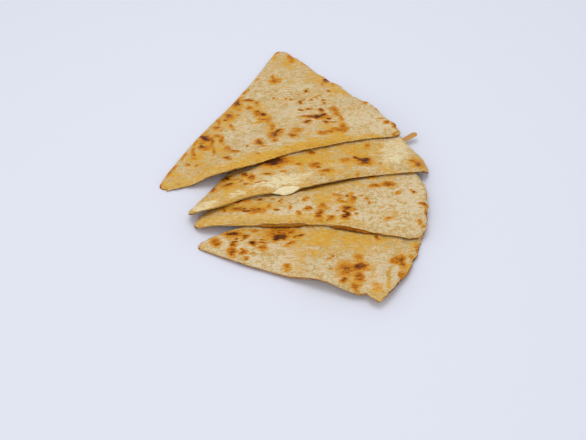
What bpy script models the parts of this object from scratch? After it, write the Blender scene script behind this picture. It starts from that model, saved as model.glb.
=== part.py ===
"""A cheese quesadilla: one large flour tortilla folded over melted cheese and cut into four wedges.

The cuts start in the middle of the fold, and the wedges lie fanned out, each over the edge of the next.
Slice 4 is the lowest and slice 1 the uppermost. Slices 1 and 4 keep the two ends of the fold, so each has
one folded tortilla. Slices 2 and 3 were cut on both sides, so each has a top and a bottom tortilla. The
cheese is a layer of its own that shows at the cuts. Lengths are in millimetres, and a finished mesh is
scaled to Blender's metres. +Z is up, and the tips of the wedges point to -X.
"""

import math
from dataclasses import dataclass

import bmesh
import bpy
import numpy as np

MM = 0.001

# The layers of a slice.
TORTILLA = 1.3
RIM_TORTILLA = 0.95
CLEARANCE = 0.3
RIM_CHEESE = 0.55
CHEESE_BULGE_AT_CUT = 0.7
SLICE_GAP = 0.55

# How a slice thins out: shares of its length, and the share of the cheese that is left at the tip.
RIM_SHARE = 0.8
THIN_TORTILLA_FROM = 0.85
TIP_SHARE = 0.12
TIP_CHEESE = 0.75

# A slice curls up towards its rim and its lower side: where that starts along, and where it ends across.
CURL_ALONG_FROM = 0.45
CURL_ACROSS_TO = 0.55

# Outline.
TIP_RADIUS = 3.6
RIM_CORNER = 7.0
RIM_WAVE = 0.9
CUT_WAVE = 0.7

# The soft sheets: a slice needs this much reach to come down from the slice that it lies on.
DRAPE_REACH = 8.0
GRID_STEP = 2.5
GRID_X = (-115.0, 115.0)
GRID_Y = (-145.0, 175.0)
OFFSET_ROUNDS = 3
RELIEF = 0.35

# Mesh density.
LENGTH_CELLS = 17
WIDTH_CELLS = 15
BEND_CELLS = 4
SHARP_DEG = 40.0

# The crisp strand of cheese that ran out of slice 2's rim, from between its tortillas.
STRAND_ACROSS = 0.34
STRAND_FROM_RIM = 8.5
STRAND_LENGTH = 18.5
STRAND_HALF_WIDTH = 0.95
STRAND_HALF_THICKNESS = 0.24
STRAND_SWELL = 0.6
STRAND_BEARING_DEG = 28.0
STRAND_RISE = 0.2
STRAND_CELLS = (10, 10)

# An uneven wave is the sum of these sines: height, times the main count of cycles, and phase per seed.
WAVE_PARTS = ((0.55, 1.0, 0.37), (0.30, 2.3, 0.61), (0.15, 4.1, 0.83))
RIM_CYCLES = 3.0
CUT_CYCLES = 2.0

# The two sets of swells of the surface: their lengths and how far they wander, in millimetres.
SWELL_LENGTHS = (9.0, 7.5)
WANDER_LENGTHS = (17.0, 13.0)


@dataclass(frozen=True)
class Slice:
    """One wedge. Its lower side is the one nearer -Y, and angles are from +X.

    A bow pushes the middle of a cut towards +Y, and the middle of the rim outwards. A sway does so to the first half
    of it, and the opposite to the second half.
    """

    name: str
    tip: tuple
    lower_deg: float
    upper_deg: float
    lower_length: float
    upper_length: float
    cheese: float
    fold: str = ""
    lower_bow: float = 0.0
    upper_bow: float = 0.0
    rim_bow: float = 0.0
    lower_sway: float = 0.0
    upper_sway: float = 0.0
    rim_sway: float = 0.0
    curl: float = 0.0
    seed: int = 0

    @property
    def spread(self):
        return math.radians(self.upper_deg - self.lower_deg)


LOWEST_FIRST = (
    Slice(
        "slice_4", tip=(-65.9, -59.9), lower_deg=-25.9, upper_deg=24.9, lower_length=127.6,
        upper_length=152.0, cheese=1.8, fold="lower", lower_bow=-0.6, upper_bow=-1.7, rim_bow=3.2,
        lower_sway=-1.3, upper_sway=1.8, rim_sway=-1.5, curl=4.5, seed=4,
    ),
    Slice(
        "slice_3", tip=(-67.5, -45.3), lower_deg=-7.1, upper_deg=44.3, lower_length=145.6,
        upper_length=161.4, cheese=2.8, lower_bow=3.7, upper_bow=0.1, rim_bow=1.5,
        lower_sway=-1.0, upper_sway=-0.3, rim_sway=2.2, seed=3,
    ),
    Slice(
        "slice_2", tip=(-75.3, -41.5), lower_deg=15.0, upper_deg=54.1, lower_length=171.6,
        upper_length=175.5, cheese=2.8, lower_bow=4.6, upper_bow=2.9, rim_bow=-0.4,
        lower_sway=0.3, upper_sway=2.3, rim_sway=-2.6, seed=2,
    ),
    Slice(
        "slice_1", tip=(-92.4, -7.7), lower_deg=15.7, upper_deg=63.8, lower_length=171.7,
        upper_length=183.7, cheese=2.4, fold="upper", lower_bow=-0.9, upper_bow=-2.5, rim_bow=-11.9,
        lower_sway=-3.1, upper_sway=2.0, rim_sway=-0.3, seed=1,
    ),
)

TORTILLA_COLOUR = (0.70, 0.53, 0.30)
CHEESE_COLOUR = (0.80, 0.60, 0.22)


def smooth_step(low, high, value):
    """0 below low, 1 above high, and a soft rise between."""
    share = np.clip((value - low) / (high - low), 0.0, 1.0)
    return share * share * (3.0 - 2.0 * share)


def wave(along, cycles, seed):
    """An uneven wave from -1 to 1, as a hand-rolled rim or a knife cut has."""
    total = 0.0
    for height, times, phase in WAVE_PARTS:
        total = total + height * np.sin(2 * math.pi * (times * cycles * along + phase * seed))
    return total


def relief(x, y):
    """Shallow swells of the tortilla's surface, in millimetres."""
    one_way = np.sin(x / SWELL_LENGTHS[0] + np.sin(y / WANDER_LENGTHS[0]))
    other_way = np.sin(y / SWELL_LENGTHS[1] + np.sin(x / WANDER_LENGTHS[1]))
    return RELIEF * (one_way + other_way) / 2


# A slice's outline: along goes from 0 at the tip to 1 at the rim, and across from 0 at the lower side to 1.


def tip_distance(piece, across):
    """How far the rounded tip stands off the point where the two sides would meet."""
    off_middle = (across - 0.5) * piece.spread
    centre = TIP_RADIUS / math.sin(piece.spread / 2)
    under_root = TIP_RADIUS**2 - (centre * np.sin(off_middle)) ** 2
    return centre * np.cos(off_middle) - np.sqrt(np.maximum(under_root, 0.0))


def rim_distance(piece, across):
    """How far the rim is from that point, with both of its corners rounded."""
    length = piece.lower_length + (piece.upper_length - piece.lower_length) * across
    length = length + piece.rim_bow * np.sin(math.pi * across)
    length = length + piece.rim_sway * np.sin(2 * math.pi * across)
    corner_share = RIM_CORNER / (length * piece.spread)
    past = np.clip((np.abs(across - 0.5) - 0.5 + corner_share) / corner_share, 0.0, 1.0)
    cut_back = RIM_CORNER * (1.0 - np.sqrt(1.0 - past**2))
    return length - cut_back + RIM_WAVE * wave(across, RIM_CYCLES, piece.seed)


def side_offset(piece, along, across):
    """How far a point stands off the straight ray from the tip, because a cut is never quite straight."""
    bow = (piece.lower_bow * (1 - across) + piece.upper_bow * across) * np.sin(math.pi * along)
    bow = bow + (piece.lower_sway * (1 - across) + piece.upper_sway * across) * np.sin(2 * math.pi * along)
    bow = bow + CUT_WAVE * wave(along, CUT_CYCLES, piece.seed + across) * along
    angle = math.radians(piece.lower_deg) + across * piece.spread
    return -bow * np.sin(angle), bow * np.cos(angle)


def place(piece, along, across):
    """The point of a slice's outline, seen from above."""
    inner = tip_distance(piece, across)
    distance = inner + along * (rim_distance(piece, across) - inner)
    angle = math.radians(piece.lower_deg) + across * piece.spread
    dx, dy = side_offset(piece, along, across)
    return piece.tip[0] + distance * np.cos(angle) + dx, piece.tip[1] + distance * np.sin(angle) + dy


def shares_of(piece, x, y):
    """(along, across) of points seen from above: place() the other way round."""
    dx, dy = 0.0, 0.0
    for _ in range(OFFSET_ROUNDS):
        from_tip_x, from_tip_y = x - dx - piece.tip[0], y - dy - piece.tip[1]
        across = (np.arctan2(from_tip_y, from_tip_x) - math.radians(piece.lower_deg)) / piece.spread
        held = np.clip(across, 0.0, 1.0)
        inner = tip_distance(piece, held)
        along = (np.hypot(from_tip_x, from_tip_y) - inner) / (rim_distance(piece, held) - inner)
        dx, dy = side_offset(piece, np.clip(along, 0.0, 1.0), held)
    return along, across


def width_at(piece, along):
    """A slice's width from side to side, at its middle line."""
    inner = tip_distance(piece, 0.5)
    return (inner + along * (rim_distance(piece, 0.5) - inner)) * piece.spread


def tortilla_thickness(along):
    return TORTILLA + (RIM_TORTILLA - TORTILLA) * smooth_step(THIN_TORTILLA_FROM, 1.0, along)


def cheese_thickness(piece, along):
    """Full in the middle, thinner at the tip and pressed thin at the rim."""
    to_rim = smooth_step(0.0, RIM_SHARE, 1.0 - along)
    from_tip = TIP_CHEESE + (1.0 - TIP_CHEESE) * smooth_step(0.0, TIP_SHARE, along)
    return RIM_CHEESE + (piece.cheese - RIM_CHEESE) * to_rim * from_tip


def thickness(piece, along):
    """The whole slice, from the bottom tortilla's underside to the top one's upper side."""
    return 2 * tortilla_thickness(along) + 2 * CLEARANCE + cheese_thickness(piece, along)


def curl(piece, along, across):
    """How far a slice's lower rim corner lifts off what is under it."""
    if not piece.curl:
        return np.zeros_like(along)
    return piece.curl * smooth_step(CURL_ALONG_FROM, 1.0, along) * smooth_step(CURL_ACROSS_TO, 0.0, across)


# The stack: a grid of heights, seen from above, that each slice is laid over in turn.


def disc_offsets():
    reach = int(round(DRAPE_REACH / GRID_STEP))
    steps = range(-reach, reach + 1)
    return [(i, j) for i in steps for j in steps if i * i + j * j <= reach * reach]


def drape(heights):
    """What a soft slice does over these heights: it spans each step with a slope and never dips below."""
    shifted = [np.roll(heights, offset, (0, 1)) for offset in disc_offsets()]
    widened = np.max(shifted, axis=0)
    return np.mean([np.roll(widened, offset, (0, 1)) for offset in disc_offsets()], axis=0)


def stack_slices():
    """{slice name: grid of the heights of its underside}, from the lowest slice up."""
    x, y = np.meshgrid(np.arange(*GRID_X, GRID_STEP), np.arange(*GRID_Y, GRID_STEP), indexing="ij")
    top = np.zeros_like(x)
    undersides = {}
    for piece in LOWEST_FIRST:
        along, across = shares_of(piece, x, y)
        held = np.clip(along, 0.0, 1.0)
        underside = drape(top) + curl(piece, held, np.clip(across, 0.0, 1.0))
        undersides[piece.name] = underside
        margin = GRID_STEP / width_at(piece, held)
        length_margin = GRID_STEP / piece.lower_length
        inside = (along > -length_margin) & (along < 1 + length_margin)
        inside &= (across > -margin) & (across < 1 + margin)
        upper_side = underside + thickness(piece, held) + relief(x, y) + RELIEF + SLICE_GAP
        top = np.where(inside, np.maximum(top, upper_side), top)
    return undersides


def height_at(grid, x, y):
    """The grid's height at one point, by bilinear interpolation."""
    column, row = (x - GRID_X[0]) / GRID_STEP, (y - GRID_Y[0]) / GRID_STEP
    i, j = int(column), int(row)
    a, b = column - i, row - j
    near = grid[i, j] * (1 - b) + grid[i, j + 1] * b
    far = grid[i + 1, j] * (1 - b) + grid[i + 1, j + 1] * b
    return near * (1 - a) + far * a


# Solids: a grid of faces, extruded to a slab, whose two skins are then bent to shape. All layers of a
# slice share the same grid lines, so that their facets lie alike and never cross.


def even_ends(share):
    """Spaces a grid's lines closer together towards both ends."""
    return (share + smooth_step(0.0, 1.0, share)) / 2


def slab(name, colour, along_cells, across_cells, lower_skin, upper_skin):
    """A closed slab. Each skin is a function of two shares, from 0 to 1, and gives a point."""
    mesh_builder = bmesh.new()
    bmesh.ops.create_grid(mesh_builder, x_segments=along_cells, y_segments=across_cells, size=0.5)
    shares = {v: (v.co.x + 0.5, v.co.y + 0.5) for v in mesh_builder.verts}
    raised = bmesh.ops.extrude_face_region(mesh_builder, geom=mesh_builder.faces[:])["geom"]
    for v in [element for element in raised if isinstance(element, bmesh.types.BMVert)]:
        v.co = upper_skin(v.co.x + 0.5, v.co.y + 0.5)
    for v, (along, across) in shares.items():
        v.co = lower_skin(along, across)
    bmesh.ops.scale(mesh_builder, vec=(MM, MM, MM), verts=mesh_builder.verts)
    bmesh.ops.recalc_face_normals(mesh_builder, faces=mesh_builder.faces)
    bmesh.ops.triangulate(mesh_builder, faces=mesh_builder.faces, quad_method="SHORT_EDGE")
    return finish_object(name, mesh_builder, colour)


def finish_object(name, mesh_builder, colour):
    mesh = bpy.data.meshes.new(name)
    mesh_builder.to_mesh(mesh)
    mesh_builder.free()
    mesh.materials.append(colour)
    mesh.shade_smooth()
    mesh.set_sharp_from_angle(angle=math.radians(SHARP_DEG))
    made = bpy.data.objects.new(name, mesh)
    bpy.context.scene.collection.objects.link(made)
    return made


def bend_radius(piece, along):
    return thickness(piece, along) / 2


def across_of_line(piece, along, share):
    """Where a grid line runs across a slice. Share 0 is a cut, and 1 the other cut or the fold's start."""
    if not piece.fold:
        return even_ends(share)
    from_cut = even_ends(share) * (1 - bend_radius(piece, along) / width_at(piece, along))
    return 1 - from_cut if piece.fold == "lower" else from_cut


def flat_skin(piece, underside, from_bottom, swell):
    """A skin of one flat tortilla, at the height from_bottom over the slice's underside."""

    def skin(along_share, across_share):
        along = even_ends(along_share)
        x, y = place(piece, along, across_of_line(piece, along, across_share))
        return x, y, height_at(underside, x, y) + from_bottom(along) + swell * relief(x, y)

    return skin


def add_flat_tortillas(piece, underside, colour):
    """The two separate tortillas of a slice that was cut on both sides."""
    layers = {
        "bottom": (lambda along: 0.0, tortilla_thickness, 0.0),
        "top": (
            lambda along: thickness(piece, along) - tortilla_thickness(along),
            lambda along: thickness(piece, along),
            1.0,
        ),
    }
    for layer, (low, high, swell) in layers.items():
        lower_skin = flat_skin(piece, underside, low, swell)
        upper_skin = flat_skin(piece, underside, high, swell)
        slab(f"{piece.name}_{layer}_tortilla", colour, LENGTH_CELLS, WIDTH_CELLS, lower_skin, upper_skin)


def folded_skin(piece, underside, outer):
    """One skin of a folded tortilla: out along the bottom, round the bend and back along the top."""
    flat_share = WIDTH_CELLS / (2 * WIDTH_CELLS + BEND_CELLS)

    def skin(along_share, path_share):
        along = even_ends(along_share)
        radius = bend_radius(piece, along)
        turn = math.pi * ((path_share - flat_share) / (1 - 2 * flat_share) - 0.5)
        turn = min(max(turn, -math.pi / 2), math.pi / 2)
        from_cut = min(min(path_share, 1 - path_share) / flat_share, 1.0)
        reach = radius if outer else radius - tortilla_thickness(along)
        past_bend_start = reach * math.cos(turn) / width_at(piece, along)
        across = across_of_line(piece, along, from_cut)
        across = across - past_bend_start if piece.fold == "lower" else across + past_bend_start
        x, y = place(piece, along, across)
        swell = relief(x, y) * smooth_step(-1.0, 1.0, math.sin(turn))
        return x, y, height_at(underside, x, y) + radius + reach * math.sin(turn) + swell

    return skin


def add_folded_tortilla(piece, underside, colour):
    """The tortilla of a slice that kept an end of the fold."""
    path_cells = 2 * WIDTH_CELLS + BEND_CELLS
    outer, inner = folded_skin(piece, underside, True), folded_skin(piece, underside, False)
    slab(f"{piece.name}_folded_tortilla", colour, LENGTH_CELLS, path_cells, outer, inner)


def cheese_skin(piece, underside, from_bottom, swell):
    """A skin of the cheese, which bulges from a cut and stops at the fold and just short of the rim."""

    def skin(along_share, across_share):
        along = even_ends(along_share * (LENGTH_CELLS - 1) / LENGTH_CELLS)
        across = across_of_line(piece, along, across_share)
        outward = 1 if across > 0.5 else -1
        at_cut = across_share == 0 or (across_share == 1 and not piece.fold)
        if at_cut:
            across += outward * CHEESE_BULGE_AT_CUT / width_at(piece, along)
        x, y = place(piece, along, across)
        return x, y, height_at(underside, x, y) + from_bottom(along) + swell * relief(x, y)

    return skin


def add_cheese(piece, underside, colour):
    """The cheese layer, which shows at the cut sides."""

    def low(along):
        return tortilla_thickness(along) + CLEARANCE

    def high(along):
        return low(along) + cheese_thickness(piece, along)

    lower_skin = cheese_skin(piece, underside, low, 0.0)
    upper_skin = cheese_skin(piece, underside, high, 1.0)
    return slab(f"{piece.name}_cheese", colour, LENGTH_CELLS - 1, WIDTH_CELLS, lower_skin, upper_skin)


def strand_point(piece, underside, unit):
    """Where a point of the unit sphere goes on the strand, which widens past the rim."""
    share = (unit.z + 1) / 2
    bearing = math.radians(STRAND_BEARING_DEG)
    reach = share * STRAND_LENGTH - STRAND_FROM_RIM
    inside = min(reach, 0.0)
    rim_x, rim_y = place(piece, 1.0, STRAND_ACROSS)
    inner_x, inner_y = rim_x + inside * math.cos(bearing), rim_y + inside * math.sin(bearing)
    along = min(shares_of(piece, inner_x, inner_y)[0], 1.0)
    cheese_floor = height_at(underside, inner_x, inner_y) + tortilla_thickness(along) + CLEARANCE
    middle = cheese_floor + (cheese_thickness(piece, along) + relief(inner_x, inner_y)) / 2
    middle += STRAND_RISE * (reach - inside)
    x, y = rim_x + reach * math.cos(bearing), rim_y + reach * math.sin(bearing)
    swell = 1 + STRAND_SWELL * smooth_step(0.0, STRAND_LENGTH - STRAND_FROM_RIM, reach)
    aside, lift = STRAND_HALF_WIDTH * swell * unit.x, STRAND_HALF_THICKNESS * swell * unit.y
    return x - aside * math.sin(bearing), y + aside * math.cos(bearing), middle + lift


def add_strand(layer, piece, underside, colour):
    """Joins the crisp strand to the cheese layer that it ran out of."""
    around, lengthwise = STRAND_CELLS
    mesh_builder = bmesh.new()
    bmesh.ops.create_uvsphere(mesh_builder, u_segments=around, v_segments=lengthwise, radius=1.0)
    for v in mesh_builder.verts:
        v.co = strand_point(piece, underside, v.co)
    bmesh.ops.scale(mesh_builder, vec=(MM, MM, MM), verts=mesh_builder.verts)
    bmesh.ops.recalc_face_normals(mesh_builder, faces=mesh_builder.faces)
    strand = finish_object("strand_to_join", mesh_builder, colour)
    strand.hide_render = True
    strand.display_type = "WIRE"
    join = layer.modifiers.new("strand", "BOOLEAN")
    join.operation = "UNION"
    join.solver = "EXACT"
    join.object = strand


def material(name, colour, roughness):
    made = bpy.data.materials.new(name)
    made.use_nodes = True
    shader = made.node_tree.nodes["Principled BSDF"]
    shader.inputs["Base Color"].default_value = (*colour, 1.0)
    shader.inputs["Roughness"].default_value = roughness
    shader.inputs["Metallic"].default_value = 0.0
    return made


def clear_scene():
    for old in list(bpy.data.objects):
        bpy.data.objects.remove(old)


def centre_on_origin(made):
    """Moves the stack so that the middle of its footprint stands on the origin."""
    corners = np.array([v.co for one in made for v in one.data.vertices])
    middle = (corners.min(axis=0) + corners.max(axis=0)) / 2
    holder = bpy.data.objects.new("quesadilla", None)
    bpy.context.scene.collection.objects.link(holder)
    holder.location = (-middle[0], -middle[1], -corners.min(axis=0)[2])
    for one in made:
        one.parent = holder
    print("centre_on_origin", [round(float(value) / MM, 3) for value in holder.location])


def main():
    clear_scene()
    tortilla = material("toasted_tortilla", TORTILLA_COLOUR, 0.6)
    cheese = material("melted_cheese", CHEESE_COLOUR, 0.35)
    undersides = stack_slices()
    for piece in LOWEST_FIRST:
        underside = undersides[piece.name]
        layer = add_cheese(piece, underside, cheese)
        if piece.name == "slice_2":
            add_strand(layer, piece, underside, cheese)
        if piece.fold:
            add_folded_tortilla(piece, underside, tortilla)
        else:
            add_flat_tortillas(piece, underside, tortilla)
    centre_on_origin([one for one in bpy.data.objects if one.type == "MESH"])


main()
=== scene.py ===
"""A cheese quesadilla: one flour tortilla, folded over melted cheese and cut into four wedges.

The wedges lie on each other like a fan. Slice 4 is the lowest and slice 1 the uppermost. Lengths
are in millimetres until a mesh is finished. +X runs from the tips of the wedges to their rims,
and +Z is up. Marks of the pan are placed as the camera sees them, on a level plane.
"""

import math
from dataclasses import dataclass

import bmesh
import bpy
import numpy as np
from mathutils import Matrix, Vector


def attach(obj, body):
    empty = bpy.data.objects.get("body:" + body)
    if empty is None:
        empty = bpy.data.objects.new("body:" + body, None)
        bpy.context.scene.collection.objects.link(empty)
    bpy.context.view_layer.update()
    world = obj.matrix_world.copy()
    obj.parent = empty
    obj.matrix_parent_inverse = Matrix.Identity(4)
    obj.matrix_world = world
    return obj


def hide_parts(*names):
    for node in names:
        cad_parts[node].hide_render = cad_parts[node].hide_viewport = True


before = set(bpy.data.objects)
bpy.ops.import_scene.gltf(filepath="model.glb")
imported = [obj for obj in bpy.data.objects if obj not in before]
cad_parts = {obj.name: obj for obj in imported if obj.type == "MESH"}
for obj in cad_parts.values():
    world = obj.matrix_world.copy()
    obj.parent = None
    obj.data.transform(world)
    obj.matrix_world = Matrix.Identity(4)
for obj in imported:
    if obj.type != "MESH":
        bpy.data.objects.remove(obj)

bl_info = {
    "name": "Cheese Quesadilla",
    "version": (1, 0, 0),
    "blender": (4, 5, 0),
    "location": "View3D > Sidebar > Quesadilla",
    "description": "Models four toasted tortilla wedges with their melted cheese",
    "category": "Object",
}

MM = 0.001

# The layers of a slice, as they are in the frame.
TORTILLA = 1.3
RIM_TORTILLA = 0.95
CLEARANCE = 0.3
RIM_CHEESE = 0.55
SLICE_GAP = 0.55
RIM_SHARE = 0.8
THIN_TORTILLA_FROM = 0.85
TIP_SHARE = 0.12
TIP_CHEESE = 0.75

# Where slice 4's rim corner starts to lift: shares of its length and of its width.
CURL_ALONG_FROM = 0.45
CURL_ACROSS_TO = 0.55

# The outline of a slice seen from above, and the middle of the frame.
TIP_RADIUS = 3.6
RIM_CORNER = 7.0
RIM_WAVE = 0.9
CUT_WAVE = 0.7
CENTRE = (0.452, -20.282)

# The soft sheets, laid over each other.
DRAPE_REACH = 8.0
HUG_REACH = 2.5
GRID_STEP = 2.5
GRID_X = (-115.0, 115.0)
GRID_Y = (-145.0, 175.0)
OFFSET_ROUNDS = 3
RELIEF = 0.35

# An uneven wave is the sum of these sines: height, times the main count of cycles, and phase per
# seed. The lengths below are those of the shallow swells of the surface.
WAVE_PARTS = ((0.55, 1.0, 0.37), (0.30, 2.3, 0.61), (0.15, 4.1, 0.83))
RIM_CYCLES = 3.0
CUT_CYCLES = 2.0
SWELL_LENGTHS = (9.0, 7.5)
WANDER_LENGTHS = (17.0, 13.0)

# The crisp strand of cheese at slice 2's rim.
STRAND_ACROSS = 0.34
STRAND_FROM_RIM = 8.5
STRAND_LENGTH = 17.8
STRAND_HALF_WIDTH = 1.9
STRAND_HALF_THICKNESS = 0.4
STRAND_SWELL = 0.6
STRAND_BEARING_DEG = 28.0
STRAND_RISE = 0.2
STRAND_BLUNTNESS = 7
STRAND_INNER_BLUNTNESS = 0.2
STRAND_THINNEST = 0.02
STRAND_KNOBS = 0.35
STRAND_KNOB_SIZE = 2.2
STRAND_SEGMENTS = (24, 48)

# Mesh density: cells along and across a slice, and cuts through the thickness of a layer.
TOP_CELLS = (230, 180)
BOTTOM_CELLS = (130, 110)
FOLDED_CELLS = (190, 230)
FOLDED_BOTTOM_SHARE = 0.24
FOLDED_BEND_SHARE = 0.08
CHEESE_CELLS = (260, 60)
TORTILLA_WALL_CUTS = 3
CHEESE_WALL_CUTS = 7

# The camera, and the level that the marks of the pan are placed on.
EYE = (-2.84, -570.48, 476.30)
TARGET = (-2.84, -54.36, 16.15)
ROLL_DEG = -1.287
LENS_MM = 69.81
SENSOR_MM = 36.0
MARK_LEVEL = 8.0

# Floor and light, in metres: each lamp's place and width, and one colour for both.
FLOOR_HALF = 3.0
LAMPS = {"key": ((-0.05, 0.08, 0.95), 0.6), "fill": ((-0.2, -0.8, 0.45), 0.9)}
LAMP_COLOUR = (1.0, 0.99, 0.97)
WORLD_COLOUR = (0.93, 0.95, 1.0, 1.0)
WORLD_STRENGTH = 0.79


@dataclass(frozen=True)
class Slice:
    """One wedge. Its lower side is the one nearer -Y, and angles are from +X.

    A bow pushes the middle of a cut towards +Y, and the middle of the rim outwards. A sway does
    so to the first half of it, and the opposite to the second half.
    """

    name: str
    tip: tuple
    lower_deg: float
    upper_deg: float
    lower_length: float
    upper_length: float
    cheese: float
    fold: str = ""
    lower_bow: float = 0.0
    upper_bow: float = 0.0
    rim_bow: float = 0.0
    lower_sway: float = 0.0
    upper_sway: float = 0.0
    rim_sway: float = 0.0
    curl: float = 0.0
    seed: int = 0

    @property
    def spread(self):
        return math.radians(self.upper_deg - self.lower_deg)


LOWEST_FIRST = (
    Slice(
        "slice_4", tip=(-65.9, -59.9), lower_deg=-25.9, upper_deg=24.9, lower_length=127.6,
        upper_length=152.0, cheese=1.8, fold="lower", lower_bow=-0.6, upper_bow=-1.7, rim_bow=3.2,
        lower_sway=-1.3, upper_sway=1.8, rim_sway=-1.5, curl=4.5, seed=4,
    ),
    Slice(
        "slice_3", tip=(-67.5, -45.3), lower_deg=-7.1, upper_deg=44.3, lower_length=145.6,
        upper_length=161.4, cheese=2.8, lower_bow=3.7, upper_bow=0.1, rim_bow=1.5,
        lower_sway=-1.0, upper_sway=-0.3, rim_sway=2.2, seed=3,
    ),
    Slice(
        "slice_2", tip=(-75.3, -41.5), lower_deg=15.0, upper_deg=54.1, lower_length=171.6,
        upper_length=175.5, cheese=2.8, lower_bow=4.6, upper_bow=2.9, rim_bow=-0.4,
        lower_sway=0.3, upper_sway=2.3, rim_sway=-2.6, seed=2,
    ),
    Slice(
        "slice_1", tip=(-92.4, -7.7), lower_deg=15.7, upper_deg=63.8, lower_length=171.7,
        upper_length=183.7, cheese=2.4, fold="upper", lower_bow=-0.9, upper_bow=-2.5, rim_bow=-11.9,
        lower_sway=-3.1, upper_sway=2.0, rim_sway=-0.3, seed=1,
    ),
)

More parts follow.
